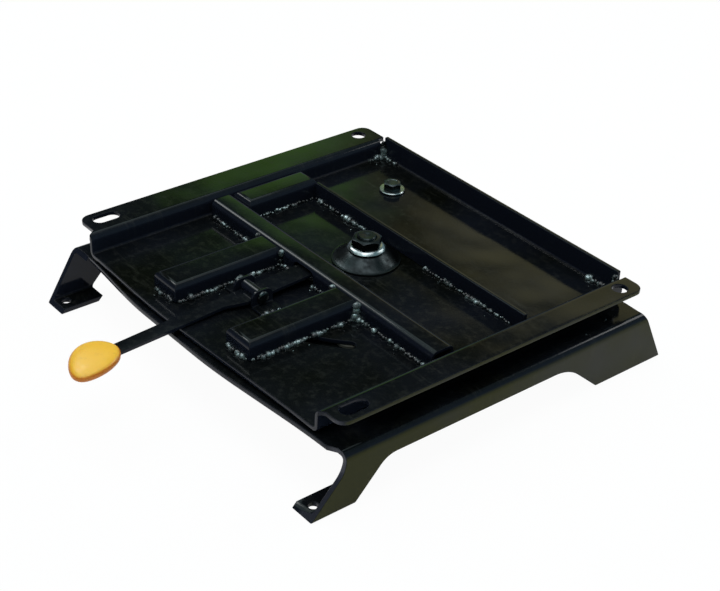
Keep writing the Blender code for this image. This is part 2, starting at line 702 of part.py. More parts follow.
def build_stop_bolt(zinc):
    """The small bolt and washer at the left rear of the tray floor."""
    centre = (STOP_X, STOP_Y)
    washer_low = TRAY_FLOOR + SEAT
    washer_high = washer_low + STOP_WASHER_SHEET
    inner = STOP_BOLT_RADIUS + SEAT
    washer = turned("stop_washer", [
        (inner, washer_low), (STOP_WASHER_RADIUS, washer_low), (STOP_WASHER_RADIUS, washer_high),
        (inner, washer_high)], centre, 40)
    tidy(washer, zinc, 0.0)
    head_low = washer_high + SEAT
    bolt = prism("stop_bolt", hexagon(STOP_FLATS, centre, 20.0), "Z", head_low, head_low + STOP_HEAD)
    join(bolt, rod("Shank", STOP_BOLT_RADIUS, TRAY_BOTTOM + SEAT, head_low + STOP_HEAD / 2.0, centre))
    tidy(bolt, zinc)


def build_ear(name, side, material):
    """One hinge ear: a foot on the tray floor and an upright with the pin hole."""
    half = EAR_SHEET / 2.0
    inner = LEVER_X + side * EAR_GAP / 2.0
    upright = inner + side * half
    top = LEVER_AXIS_Z + EAR_RISE
    line = [(inner + side * (EAR_SHEET + EAR_FOOT), MEMBER_BASE + half), (upright, MEMBER_BASE + half),
            (upright, top)]
    low = -LEVER_PIVOT - EAR_DEPTH / 2.0
    high = -LEVER_PIVOT + EAR_DEPTH / 2.0
    ear = prism(name, folded(line, EAR_SHEET, BEND_RADIUS / 2.0), "Y", low, high)
    outline = fillet([(low, MEMBER_BASE), (high, MEMBER_BASE), (high, top), (low, top)],
                     [0.0, 0.0, EAR_DEPTH * 0.3, EAR_DEPTH * 0.3])
    reach = EAR_FOOT + 2.0 * EAR_SHEET
    keep(ear, prism("Outline", outline, "X", inner - reach, inner + reach))
    centre = (-LEVER_PIVOT, LEVER_AXIS_Z)
    cut(ear, cross_rod("Hole", HINGE_PIN_RADIUS + SEAT, inner - reach, inner + reach, centre))
    return tidy(ear, material, EDGE / 2.0)


def build_hinge_pin(zinc):
    """The headed hinge pin across the ears and its nut."""
    centre = (-LEVER_PIVOT, LEVER_AXIS_Z)
    reach = EAR_GAP / 2.0 + EAR_SHEET + SEAT
    head = HINGE_PIN_RADIUS
    pin = cross_rod("hinge_pin", HINGE_PIN_RADIUS, LEVER_X - reach - 1.8 * head,
                    LEVER_X + reach + head / 2.0, centre)
    join(pin, cross_rod("Head", head * 1.7, LEVER_X + reach, LEVER_X + reach + head, centre))
    tidy(pin, zinc, EDGE / 2.0)
    flats = hexagon(HINGE_PIN_RADIUS * 3.25, centre)
    nut = prism("hinge_nut", flats, "X", LEVER_X - reach - 1.4 * head, LEVER_X - reach)
    cut(nut, cross_rod("Hole", HINGE_PIN_RADIUS + SEAT, LEVER_X - 2.0 * reach, LEVER_X, centre))
    tidy(nut, zinc, EDGE / 2.0)


def tilt_lever(item):
    """Put the origin on the hinge axis and turn the piece to its rest angle."""
    pivot = Vector((LEVER_X, -LEVER_PIVOT, LEVER_AXIS_Z))
    item.data.transform(Matrix.Translation(-pivot))
    item.data.transform(Matrix.Rotation(math.radians(LEVER_TILT), 4, "X"))
    item.location = pivot
    return item


def build_lever(paint, zinc, grip_plastic):
    """Lever bar with its boss, the lock pin under it and the grip on its end."""
    middle = LEVER_AXIS_Z - LEVER_DROP
    low = middle - LEVER_SHEET / 2.0
    high = middle + LEVER_SHEET / 2.0
    inner_end = -BEAM_FRONT + BEAM_WIDTH - MEMBER_SHEET - LEVER_END_GAP
    wide = LEVER_WIDTH / 2.0
    tip = LEVER_TIP_WIDTH / 2.0
    taper = -TRAY_FRONT_MIDDLE
    bar_outline = fillet(
        [(LEVER_X - wide, inner_end), (LEVER_X - wide, taper), (LEVER_X - tip, -LEVER_END),
         (LEVER_X + tip, -LEVER_END), (LEVER_X + wide, taper), (LEVER_X + wide, inner_end)],
        [LEVER_HEEL_RADIUS, LEVER_WAIST_RADIUS, LEVER_TIP_RADIUS,
         LEVER_TIP_RADIUS, LEVER_WAIST_RADIUS, LEVER_HEEL_RADIUS])
    bar = prism("lever_bar", bar_outline, "Z", low, high)
    centre = (-LEVER_PIVOT, LEVER_AXIS_Z)
    boss_low = LEVER_X - EAR_GAP / 2.0 + SEAT
    boss_high = LEVER_X + EAR_GAP / 2.0 - SEAT
    join(bar, cross_rod("Boss", BOSS_RADIUS, boss_low, boss_high, centre))
    cut(bar, cross_rod("Hole", HINGE_PIN_RADIUS + HINGE_PLAY, boss_low - BOSS_RADIUS,
                       boss_high + BOSS_RADIUS, centre))
    lock = (LEVER_X, -LOCK_CIRCLE)
    cut(bar, rod("Hole", LOCK_NECK_RADIUS + SEAT, low - LEVER_SHEET, high + LEVER_SHEET, lock))
    tidy(bar, paint, EDGE / 2.0)
    rise = (LEVER_PIVOT - LOCK_CIRCLE) * math.sin(math.radians(LEVER_TILT))
    tip_z = DECK_TOP + LOCK_PIN_GAP - rise
    shoulder = low - SEAT
    head_low = high + SEAT
    head_high = head_low + LOCK_HEAD
    chamfer = LOCK_PIN_RADIUS / 4.0
    pin = turned("lock_pin", [
        (0.0, tip_z), (LOCK_PIN_RADIUS - chamfer, tip_z), (LOCK_PIN_RADIUS, tip_z + chamfer),
        (LOCK_PIN_RADIUS, shoulder), (LOCK_NECK_RADIUS, shoulder), (LOCK_NECK_RADIUS, head_low),
        (LOCK_NECK_RADIUS * 1.35, head_low), (LOCK_NECK_RADIUS * 1.35, head_high), (0.0, head_high)],
        lock, 32)
    tidy(pin, zinc, 0.0)
    grip = build_grip(middle, grip_plastic)
    for item in (bar, pin, grip):
        tilt_lever(item)


def build_grip(middle, material):
    """The moulded oval grip, hollow where the bar goes in."""
    shell = bmesh.new()
    around = 40
    levels = 12
    centre = Vector((LEVER_X + GRIP_SIDE, -GRIP_Y, middle + GRIP_RISE))
    turn = math.radians(GRIP_TURN)
    rings = []
    for level in range(1, levels):
        height = -math.cos(math.pi * level / levels)
        share = (1.0 - abs(height) ** 2.6) ** (1.0 / 2.6)
        ring = []
        for step in range(around):
            angle = math.tau * step / around
            along = math.cos(angle) * GRIP_LENGTH * share
            width = GRIP_RIGHT if math.sin(angle) > 0.0 else GRIP_LEFT
            across = math.sin(angle) * width * (1.0 + GRIP_EGG * math.cos(angle)) * share
            x = across * math.cos(turn) + along * math.sin(turn)
            y = -along * math.cos(turn) + across * math.sin(turn)
            ring.append(shell.verts.new(centre + Vector((x, y, height * GRIP_HEIGHT / 2.0))))
        rings.append(ring)
    for lower, upper in zip(rings, rings[1:]):
        for step in range(around):
            after = (step + 1) % around
            shell.faces.new((lower[step], lower[after], upper[after], upper[step]))
    shell.faces.new(rings[0][::-1])
    shell.faces.new(rings[-1])
    grip = finish_shell("lever_grip", shell)
    wide = LEVER_WIDTH / 2.0 + SEAT
    room = [(LEVER_X - wide, -LEVER_END - SEAT), (LEVER_X + wide, -LEVER_END - SEAT),
            (LEVER_X + wide, -FLANGE_FRONT), (LEVER_X - wide, -FLANGE_FRONT)]
    deep = LEVER_SHEET / 2.0 + SEAT
    cut(grip, prism("Room", room, "Z", middle - deep, middle + deep))
    return tidy(grip, material, 0.0, 60.0)


def set_origin():
    """Move the part so that the bottom centre of its box is the world origin."""
    bpy.context.view_layer.update()
    graph = bpy.context.evaluated_depsgraph_get()
    low = Vector((math.inf,) * 3)
    high = Vector((-math.inf,) * 3)
    for item in bpy.data.objects:
        shape = item.evaluated_get(graph)
        for vertex in shape.data.vertices:
            place = shape.matrix_world @ vertex.co
            low = Vector(map(min, low, place))
            high = Vector(map(max, high, place))
    shift = Vector(((low.x + high.x) / 2.0, (low.y + high.y) / 2.0, low.z))
    for item in bpy.data.objects:
        if item.location.length > 0.0:
            item.location -= shift
        else:
            item.data.transform(Matrix.Translation(-shift))
    pivot = bpy.data.objects.new("swivel_axis", None)
    pivot.location = -shift
    bpy.context.scene.collection.objects.link(pivot)
    return shift


def main():
    """Build every piece and set the origin."""
    clear_scene()
    black = make_material("black_enamel", (0.012, 0.013, 0.012), 0.0, 0.22)
    steel = make_material("dark_steel", (0.10, 0.10, 0.10), 1.0, 0.40)
    zinc = make_material("bright_zinc", (0.62, 0.63, 0.64), 1.0, 0.28)
    nylon = make_material("glide_nylon", (0.55, 0.54, 0.50), 0.0, 0.50)
    yellow = make_material("yellow_grip", (0.91, 0.64, 0.16), 0.0, 0.38)
    build_base(black)
    build_tray(black)
    build_beam(black)
    build_channels(black)
    build_rib(black)
    build_pivot(steel, zinc, nylon)
    build_stop_bolt(zinc)
    build_ear("left_ear", -1.0, black)
    build_ear("right_ear", 1.0, black)
    build_hinge_pin(zinc)
    build_lever(black, zinc, yellow)
    shift = set_origin()
    print("swivel axis", [round(-value, 6) for value in shift])
    print("lever axis", round(-LEVER_PIVOT - shift.y, 6), round(LEVER_AXIS_Z - shift.z, 6))


if __name__ == "__main__":
    main()
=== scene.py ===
"""Looks for the seat swivel base: enamelled sheets, welds, fasteners, lever grip and studio."""
import math

import bmesh
import bpy
from bpy.props import FloatProperty, FloatVectorProperty, IntProperty, PointerProperty
from mathutils import Matrix, Vector, noise


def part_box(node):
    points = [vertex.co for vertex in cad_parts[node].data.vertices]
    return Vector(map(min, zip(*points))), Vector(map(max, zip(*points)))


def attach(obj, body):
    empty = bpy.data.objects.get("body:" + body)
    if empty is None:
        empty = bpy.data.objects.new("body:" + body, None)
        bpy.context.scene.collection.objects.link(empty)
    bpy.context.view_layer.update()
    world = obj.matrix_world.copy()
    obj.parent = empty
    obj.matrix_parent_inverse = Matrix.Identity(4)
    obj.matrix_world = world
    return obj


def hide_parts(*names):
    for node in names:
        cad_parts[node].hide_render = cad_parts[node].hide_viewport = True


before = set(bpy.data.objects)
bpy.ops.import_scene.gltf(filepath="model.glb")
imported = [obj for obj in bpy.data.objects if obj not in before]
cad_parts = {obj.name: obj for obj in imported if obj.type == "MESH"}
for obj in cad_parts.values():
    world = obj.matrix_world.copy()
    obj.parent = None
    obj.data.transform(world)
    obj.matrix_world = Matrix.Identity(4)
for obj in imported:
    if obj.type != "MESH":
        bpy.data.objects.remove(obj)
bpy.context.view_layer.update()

bl_info = {
    "name": "Seat swivel base",
    "version": (1, 0, 0),
    "blender": (4, 5, 0),
    "location": "3D View > Sidebar > Swivel base",
    "description": "Dresses the solids of a seat swivel base with finishes, welds and fasteners",
    "category": "Object",
}

MM = 0.001

SHEETS = {
    "base": ("base_frame",),
    "tray": ("seat_tray", "cross_beam", "left_channel", "right_channel", "side_block", "rear_rib",
             "left_ear", "right_ear"),
    "lever": ("lever_bar",),
}
GLIDES = ("glide_ring", "glide_pad_1", "glide_pad_2", "glide_pad_3", "glide_pad_4")

# How a CAD mesh is merged, and the sharpest angle that stays smooth on each kind of piece
MERGE_DISTANCE = 0.004 * MM
FLAT_ANGLE = math.radians(0.2)
SHEET_ANGLE = math.radians(52.0)
TURNED_ANGLE = math.radians(32.0)
GRIP_ANGLE = math.radians(60.0)
ROUND_STEPS = 96

# Sizes of the enamel's patterns
FILM_CLOUD = 90.0 * MM
STREAK_LENGTH = 60.0 * MM
STREAK_TURN = math.radians(38.0)
STREAK_STRETCH = 9.0
RUBBED_PATCH = 45.0 * MM
DUST_CLUMP = 8.0 * MM
CHIP_SIZE = 5.0 * MM
SHEET_WAVE, SHEET_WAVE_DEPTH = 70.0 * MM, 0.9 * MM
ORANGE_PEEL, ORANGE_PEEL_DEPTH = 2.5 * MM, 0.018 * MM
# The outer side of the frame and the tray's flange, where light is painted on the front and right
# faces, starts between these two widths
OUTER_START, OUTER_END = 0.214, 0.220

# Swivel bolt and nut, small bolt, and the lever's pin and nut
SWIVEL_FLATS = 30.0 * MM
SWIVEL_BORE = 10.3 * MM
SWIVEL_RADIUS = 10.0 * MM
SMALL_FLATS = 19.0 * MM
SMALL_RADIUS = 5.0 * MM
HINGE_FLATS = 13.0 * MM
HINGE_RADIUS = 4.0 * MM
# The radius of a hexagon's round end face, as a share of its width over flats
FACE_SHARE = 0.475

# Weld beads: how far a bead's middle stands off the sheet beside it and over the floor
BEAD_OFF = 0.4 * MM
BEAD_OVER = 0.6 * MM
CHANNEL_INSET = 5.0 * MM
CHANNEL_OPEN = 62.0 * MM
LEVER_ROOM = 5.0 * MM
DROP_SPACING = 9.0 * MM
TRAY_SPREAD = 13.0 * MM
DECK_SPREAD = 1.5 * MM
DECK_SINK = 1.0 * MM
DECK_SPOTS = (((0.2240, 0.1790), (0.2270, 0.1800)), ((0.2270, 0.2110), (0.2270, 0.2140)),
              ((0.2150, 0.2150), (0.2200, 0.2155)))

# What the enamel mirrors, in linear light: colours of the sky by height and side
WHITE = (1.0, 1.0, 1.0, 1.0)
CAMERA_RIGHT = (0.628, 0.778, 0.0)
SKY_SLANT = 0.26
SKY_CARD = (0.06, 0.065, 0.06, 1.0)
SKY_LOW = (0.20, 0.25, 0.31, 1.0)
SKY_DARK = (0.022, 0.03, 0.032, 1.0)
SKY_BEND = (0.16, 0.27, 0.30, 1.0)
SKY_ABOVE = (1.0, 1.3, 1.3, 1.0)
SKY_TOP = (1.5, 1.6, 1.7, 1.0)

# The studio: half the floor's side, the point that the lamps face, and each lamp's place and side
FLOOR_REACH = 14.0
LAMP_AIM = (0.0, 0.0, 0.07)
KEY_LAMP = ((0.30, 1.50, 1.20), 0.6)
FILL_LAMP = ((-1.20, -0.10, 1.30), 0.5)
TOP_LAMP = ((0.2, -0.1, 2.0), 1.4)

# The camera, fitted to the photograph: its place and the directions right and up in the picture
CAMERA_PLACE = (1.114762, -0.882179, 0.950876)
PICTURE_RIGHT = Vector((0.62758013, 0.77762028, 0.0380772))
PICTURE_UP = Vector((-0.43313677, 0.3080876, 0.84703871))


def linear(code):
    """A linear colour with alpha from an sRGB hex code."""
    parts = [int(code[place:place + 2], 16) / 255.0 for place in (1, 3, 5)]
    return tuple(part / 12.92 if part <= 0.04045 else ((part + 0.055) / 1.055) ** 2.4
                 for part in parts) + (1.0,)


class SwivelEnamel(bpy.types.PropertyGroup):
    """Colour and gloss of the black enamel."""

    colour: FloatVectorProperty(
        name="Colour", description="Body colour of the enamel", subtype="COLOR", size=4,
        default=linear("#161923"), min=0.0, max=1.0)
    roughness: FloatProperty(
        name="Roughness", description="Roughness of clean enamel", default=0.11, min=0.0, max=1.0)
    corner_width: FloatProperty(
        name="Corner width", description="Widest strip that counts as a worn corner",
        default=1.1 * MM, min=0.0, unit="LENGTH")


class SwivelWeld(bpy.types.PropertyGroup):
    """Sizes of the weld beads."""

    bead_radius: FloatProperty(
        name="Bead radius", description="Radius of a weld bead", default=3.0 * MM, min=0.0,
        unit="LENGTH")
    ripple_spacing: FloatProperty(
        name="Ripple spacing", description="Distance between two ripples", default=3.1 * MM,
        min=0.0002, unit="LENGTH")
    spatter_radius: FloatProperty(
        name="Spatter radius", description="Radius of a drop of spatter", default=0.8 * MM,
        min=0.0, unit="LENGTH")
    seed: IntProperty(name="Seed", description="Seed of the ripples and drops", default=7, min=1)


class SwivelFastener(bpy.types.PropertyGroup):
    """Sizes of the nuts and bolts."""

    chamfer: FloatProperty(
        name="Chamfer angle", description="Slope of the corners of a hexagon",
        default=math.radians(28.0), min=0.0, subtype="ANGLE")
    thread_pitch: FloatProperty(
        name="Thread pitch", description="Pitch of the swivel bolt's thread", default=1.5 * MM,
        min=0.0002, unit="LENGTH")
    thread_depth: FloatProperty(
        name="Thread depth", description="Depth of the swivel bolt's thread", default=0.7 * MM,
        min=0.0, unit="LENGTH")


class SwivelGrip(bpy.types.PropertyGroup):
    """Colours of the lever's grip."""

    top: FloatVectorProperty(
        name="Top", description="Colour of the grip's face", subtype="COLOR", size=4,
        default=linear("#f4b92f"), min=0.0, max=1.0)
    # The rim colour is painted shade on the grip's sides
    rim: FloatVectorProperty(
        name="Rim", description="Colour of the grip's rim", subtype="COLOR", size=4,
        default=linear("#cf7415"), min=0.0, max=1.0)


class SwivelStudio(bpy.types.PropertyGroup):
    """Camera and light of the studio."""

    lens: FloatProperty(
        name="Lens", description="Focal length in millimetres on a 36 mm frame", default=79.36,
        min=1.0)
    key_power: FloatProperty(
        name="Key power", description="Power of the lamp behind the part, in watts",
        default=6.0, min=0.0)
    fill_power: FloatProperty(
        name="Fill power", description="Power of the lamp on the left, in watts",
        default=5.0, min=0.0)
    top_power: FloatProperty(
        name="Top power", description="Power of the wide lamp overhead, in watts", default=8.0,
        min=0.0)


def add_node(tree, kind, settings=None, links=None):
    """Add a node, set its attributes or input defaults, and link its inputs."""
    node = tree.nodes.new(kind)
    for key, value in (settings or {}).items():
        if isinstance(key, str) and hasattr(node, key):
            setattr(node, key, value)
        else:
            node.inputs[key].default_value = value
    for key, socket in (links or {}).items():
        tree.links.new(node.inputs[key], socket)
    return node


def new_material(name):
    """A new node material, returned with its tree and shader."""
    material = bpy.data.materials.new(name)
    material.use_nodes = True
    tree = material.node_tree
    shader = tree.nodes["Principled BSDF"]
    return material, tree, shader


def math_node(tree, operation, first, second, clamp=False):
    """A math node whose second input is a socket or a number."""
    node = add_node(tree, "ShaderNodeMath", {"operation": operation, "use_clamp": clamp},
                    {0: first})
    if isinstance(second, (int, float)):
        node.inputs[1].default_value = second
    else:
        tree.links.new(node.inputs[1], second)
    return node.outputs[0]


def blend_colours(tree, factor, first, second):
    """Mix two colours, each a socket or a linear colour."""
    node = add_node(tree, "ShaderNodeMix", {"data_type": "RGBA"}, {0: factor})
    for place, value in ((6, first), (7, second)):
        if isinstance(value, tuple):
            node.inputs[place].default_value = value
        else:
            tree.links.new(node.inputs[place], value)
    return node.outputs[2]


def grain(tree, coordinates, size, detail=3.0, rough=0.5, distortion=0.0):
    """Noise whose cells are one size in metres."""
    node = add_node(tree, "ShaderNodeTexNoise", {
        "Scale": 1.0 / size, "Detail": detail, "Roughness": rough, "Distortion": distortion,
    }, {"Vector": coordinates})
    return node.outputs["Fac"]


def level(tree, value, low, high, start=0.0, end=1.0):
    """Map a value from one range to another, held at the ends."""
    node = add_node(tree, "ShaderNodeMapRange", {1: low, 2: high, 3: start, 4: end}, {0: value})
    return node.outputs[0]


def bump(tree, height, distance, below=None):
    """A bump of one depth in metres, laid on another bump."""
    links = {"Height": height}
    if below is not None:
        links["Normal"] = below
    node = add_node(tree, "ShaderNodeBump", {"Strength": 1.0, "Distance": distance}, links)
    return node.outputs[0]


def enamel(name, colour, roughness):
    """Black air-dried enamel, sprayed on rolled sheet.

    The eye gets a deep gloss with a fine orange peel, long soft waves from the rolled sheet,
    dust and rubbed streaks on the flats, and worn corners. What faces up has painted shade, and
    the outer right side has painted light on its front edges and a painted khaki reflection.
    """
    material, tree, shader = new_material(name)
    place = add_node(tree, "ShaderNodeTexCoord").outputs["Object"]
    facing = add_node(tree, "ShaderNodeSeparateXYZ", None, {
        0: add_node(tree, "ShaderNodeNewGeometry").outputs["Normal"]}).outputs
    up = facing["Z"]
    # Painted shade: what faces up is painted a deeper greenish black, in clouds
    tone = grain(tree, place, FILM_CLOUD, 2.0)
    painted_top_shade = math_node(tree, "MULTIPLY", level(tree, tone, 0.3, 0.7, 0.5, 1.0),
                     level(tree, up, 0.5, 1.0))
    body = blend_colours(tree, painted_top_shade, colour, linear("#060704"))
    # The outer side on the right: painted light, a lighter grey, on the sheared edges in front
    across = add_node(tree, "ShaderNodeSeparateXYZ", None, {0: place}).outputs["X"]
    outer = level(tree, across, OUTER_START, OUTER_END)
    front = math_node(tree, "MULTIPLY", level(tree, facing["Y"], -0.6, -0.9), outer)
    body = blend_colours(tree, front, body, linear("#3b3a42"))
    # Painted reflection of the floor: khaki, in clouds, on what faces right
    side = math_node(tree, "MULTIPLY", level(tree, facing["X"], 0.78, 0.97), outer)
    side = math_node(tree, "MULTIPLY", side, level(tree, tone, 0.3, 0.6, 0.5, 1.0))
    body = blend_colours(tree, side, body, linear("#38361d"))
    # Rubbed streaks 60 mm long and 7 mm wide, as a cloth or a carton leaves them
    streak_place = add_node(tree, "ShaderNodeMapping", {
        "Rotation": (0.0, 0.0, STREAK_TURN), "Scale": (1.0, STREAK_STRETCH, 1.0),
    }, {"Vector": place}).outputs[0]
    streak = level(tree, grain(tree, streak_place, STREAK_LENGTH, 5.0, 0.65, 0.6), 0.55, 0.78)
    patch = level(tree, grain(tree, place, RUBBED_PATCH, 3.0), 0.45, 0.65)
    rubbed = math_node(tree, "MULTIPLY", streak, patch)
    # Dust settles on what faces up, in clumps of 8 mm; it is drawn coarser than real dust
    dust_cells = level(tree, grain(tree, place, DUST_CLUMP, 6.0, 0.7), 0.5, 0.8)
    dust = math_node(tree, "MULTIPLY", dust_cells, level(tree, up, 0.6, 1.0))
    dust = math_node(tree, "MULTIPLY", dust, 0.3)
    haze = math_node(tree, "ADD", dust, math_node(tree, "MULTIPLY", rubbed, 0.4), True)
    body = blend_colours(tree, math_node(tree, "MULTIPLY", haze, 0.10), body, linear("#8f8c80"))
    # Chips about 5 mm long on the corners, where the sheet was sheared
    worn = add_node(tree, "ShaderNodeAttribute", {"attribute_name": "corner"}).outputs["Fac"]
    chips = level(tree, grain(tree, place, CHIP_SIZE, 5.0, 0.6), 0.50, 0.62)
    chips = math_node(tree, "MULTIPLY", chips, worn)
    body = blend_colours(tree, math_node(tree, "MULTIPLY", chips, 0.05), body, linear("#6a6861"))
    tree.links.new(shader.inputs["Base Color"], body)
    gloss = math_node(tree, "ADD", math_node(tree, "MULTIPLY", haze, 0.30), roughness, True)
    gloss = math_node(tree, "ADD", gloss, math_node(tree, "MULTIPLY", worn, 0.25), True)
    tree.links.new(shader.inputs["Roughness"], gloss)
    # Rolled sheet waves over 70 mm, then orange peel of 2.5 mm, both shallow
    waves = bump(tree, grain(tree, place, SHEET_WAVE, 1.0), SHEET_WAVE_DEPTH)
    peel = bump(tree, grain(tree, place, ORANGE_PEEL, 2.0), ORANGE_PEEL_DEPTH, waves)
    tree.links.new(shader.inputs["Normal"], bump(tree, chips, 0.05 * MM, peel))
    shader.inputs["IOR"].default_value = 1.48
    # Worn corners mirror less than clean enamel, and so do the right faces with the painted khaki
    # reflection
    shine = math_node(tree, "MULTIPLY", level(tree, worn, 0.0, 1.0, 0.18, 0.06),
                      level(tree, side, 0.0, 1.0, 1.0, 0.3))
    tree.links.new(shader.inputs["Specular IOR Level"], shine)
    return material


def painted_weld(name):
    """Arc weld under thin black enamel.

    The eye gets a lumpy satin black with bright ridges where the paint has run off.
    """
    material, tree, shader = new_material(name)
    place = add_node(tree, "ShaderNodeTexCoord").outputs["Object"]
    bare = level(tree, grain(tree, place, 15.0 * MM, 4.0, 0.6), 0.48, 0.60)
    body = blend_colours(tree, bare, linear("#0c0e12"), linear("#8b9899"))
    tree.links.new(shader.inputs["Base Color"], body)
    tree.links.new(shader.inputs["Metallic"], math_node(tree, "MULTIPLY", bare, 0.75))
    tree.links.new(shader.inputs["Roughness"],
                   level(tree, grain(tree, place, 3.0 * MM), 0.3, 0.7, 0.16, 0.36))
    lumps = bump(tree, grain(tree, place, 1.6 * MM, 3.0), 0.30 * MM)
    tree.links.new(shader.inputs["Normal"], lumps)
    return material


def plated(name, colour, tarnish, roughness, grooves):
    """Steel fasteners, cold-formed or turned, then zinc-plated or oiled.

    The eye gets a blue-grey metal, bright or dark, with a fine grain and cloudy dull patches.
    """
    material, tree, shader = new_material(name)
    place = add_node(tree, "ShaderNodeTexCoord").outputs["Object"]
    cloud = level(tree, grain(tree, place, 9.0 * MM, 4.0, 0.6), 0.4, 0.7)
    body = blend_colours(tree, cloud, colour, tarnish)
    tree.links.new(shader.inputs["Base Color"], body)
    tree.links.new(shader.inputs["Roughness"],
                   level(tree, cloud, 0.0, 1.0, roughness, roughness + 0.18))
    shader.inputs["Metallic"].default_value = 1.0
    fine = grain(tree, place, grooves, 3.0, 0.6)
    tree.links.new(shader.inputs["Normal"], bump(tree, fine, 0.05 * MM))
    return material


def nylon(name):
    """Nylon sheet, moulded and greased: dull dark cream with faint flow clouds."""
    material, tree, shader = new_material(name)
    place = add_node(tree, "ShaderNodeTexCoord").outputs["Object"]
    cloud = grain(tree, place, 12.0 * MM, 4.0)
    tree.links.new(shader.inputs["Base Color"],
                   blend_colours(tree, cloud, linear("#3c3a35"), linear("#55524b")))
    tree.links.new(shader.inputs["Roughness"], level(tree, cloud, 0.3, 0.7, 0.42, 0.58))
    tree.links.new(shader.inputs["Normal"], bump(tree, grain(tree, place, 1.5 * MM), 0.02 * MM))
    return material


def grip_plastic(name, top, rim):
    """Dip-moulded soft vinyl.

    The eye gets a waxy yellow face with hand grime. The orange round the rim is painted shade,
    deeper as a face turns from straight up.
    """
    material, tree, shader = new_material(name)
    place = add_node(tree, "ShaderNodeTexCoord").outputs["Object"]
    # Painted shade: the rim attribute paints the sides orange, more as a face turns from straight
    # up
    edge = add_node(tree, "ShaderNodeAttribute", {"attribute_name": "rim"}).outputs["Fac"]
    wander = math_node(tree, "SUBTRACT", grain(tree, place, 9.0 * MM, 3.0), 0.5)
    edge = math_node(tree, "ADD", edge, math_node(tree, "MULTIPLY", wander, 0.35), True)
    body = blend_colours(tree, level(tree, edge, 0.10, 0.65), top, rim)
    grime = level(tree, grain(tree, place, 6.0 * MM, 5.0, 0.65), 0.55, 0.8, 0.0, 0.25)
    body = blend_colours(tree, grime, body, linear("#a5702c"))
    tree.links.new(shader.inputs["Base Color"], body)
    tree.links.new(shader.inputs["Roughness"],
                   level(tree, grain(tree, place, 5.0 * MM, 3.0), 0.3, 0.7, 0.30, 0.46))
    pores = bump(tree, grain(tree, place, 1.2 * MM, 2.0), 0.03 * MM)
    tree.links.new(shader.inputs["Normal"], pores)
    shader.inputs["Subsurface Weight"].default_value = 0.15
    shader.inputs["Subsurface Radius"].default_value = (0.004, 0.002, 0.0006)
    shader.inputs["Subsurface Scale"].default_value = 1.0
    return material


def material_named(name, make, *values):
    """The material of one name, made once."""
    return bpy.data.materials.get(name) or make(name, *values)


def bright_zinc():
    """Clean zinc plate, pale grey with a blue cast."""
    return material_named("zinc_plated_steel", plated, linear("#b4bcbd"), linear("#7c8382"),
                          0.20, 1.2 * MM)


def link_piece(name, mesh, material):
    """An object at the origin for a finished mesh."""
    mesh.materials.clear()
    mesh.materials.append(material)
    piece = bpy.data.objects.new(name, mesh)
    bpy.context.scene.collection.objects.link(piece)
    return piece


def baked(piece):
    """Turn a piece's live modifiers into a plain mesh."""
    graph = bpy.context.evaluated_depsgraph_get()
    mesh = bpy.data.meshes.new_from_object(piece.evaluated_get(graph), depsgraph=graph)
    piece.modifiers.clear()
    piece.data = mesh
    mesh.name = piece.name
    return piece


def merged_copy(node):
    """A copy of a CAD node's mesh with its loose triangles merged into faces."""
    shell = bmesh.new()
    shell.from_mesh(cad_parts[node].data)
    bmesh.ops.remove_doubles(shell, verts=shell.verts, dist=MERGE_DISTANCE)
    bmesh.ops.dissolve_limit(shell, angle_limit=FLAT_ANGLE, verts=shell.verts,
                             edges=shell.edges, delimit={"NORMAL"})
    return shell


def finish_mesh(shell, mesh, sharp_angle):
    """Put a shell into a mesh, smooth but for its sharp edges."""
    shell.to_mesh(mesh)
    shell.free()
    mesh.shade_smooth()
    mesh.set_sharp_from_angle(angle=sharp_angle)
    return mesh


def skin_of(node, corner_width):
    """A CAD node's form, smooth round its bends, with its narrow corner strips marked as worn."""
    tilt_limit = 0.93  # a face that turns more than this towards an axis is no corner
    shell = merged_copy(node)
    corner = shell.faces.layers.float.new("corner")
    for face in shell.faces:
        longest = max(edge.calc_length() for edge in face.edges)
        narrow = face.calc_area() / max(longest, 1e-9) < corner_width
        tilted = max(abs(part) for part in face.normal) < tilt_limit
        face[corner] = 1.0 if narrow and tilted else 0.0
    return finish_mesh(shell, bpy.data.meshes.new(node + "_skin"), SHEET_ANGLE)


def weigh_normals(piece):
    """Keep flats flat and let the light roll round narrow corner strips."""
    weigh = piece.modifiers.new("Flats", "WEIGHTED_NORMAL")
    weigh.mode = "FACE_AREA"
    weigh.weight = 90
    weigh.keep_sharp = True
    return baked(piece)


def slim_lever(mesh):
    """Take in the right side of the lever in front of its pin, where the real bar is narrower."""
    taken_at_root, taken_at_tip = 8.0 * MM, 5.4 * MM
    rows = 8
    shell = bmesh.new()
    shell.from_mesh(mesh)
    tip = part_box("lever_bar")[0][1]
    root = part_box("hinge_pin")[0][1] - 9.0 * MM
    for row in range(rows):
        bmesh.ops.bisect_plane(
            shell, geom=shell.verts[:] + shell.edges[:] + shell.faces[:], dist=1e-7,
            plane_co=(0.0, root + (tip - root) * row / rows, 0.0), plane_no=(0.0, 1.0, 0.0))
    front = [vertex for vertex in shell.verts if vertex.co.y < root - 1e-6]
    left = min(vertex.co.x for vertex in front)
    width = max(vertex.co.x for vertex in front) - left
    for vertex in front:
        share = (root - vertex.co.y) / (root - tip)
        taken = taken_at_root + (taken_at_tip - taken_at_root) * share
        taken *= min(1.0, share * rows)
        vertex.co.x = left + (vertex.co.x - left) * (1.0 - taken / width)
    finish_mesh(shell, mesh, SHEET_ANGLE)


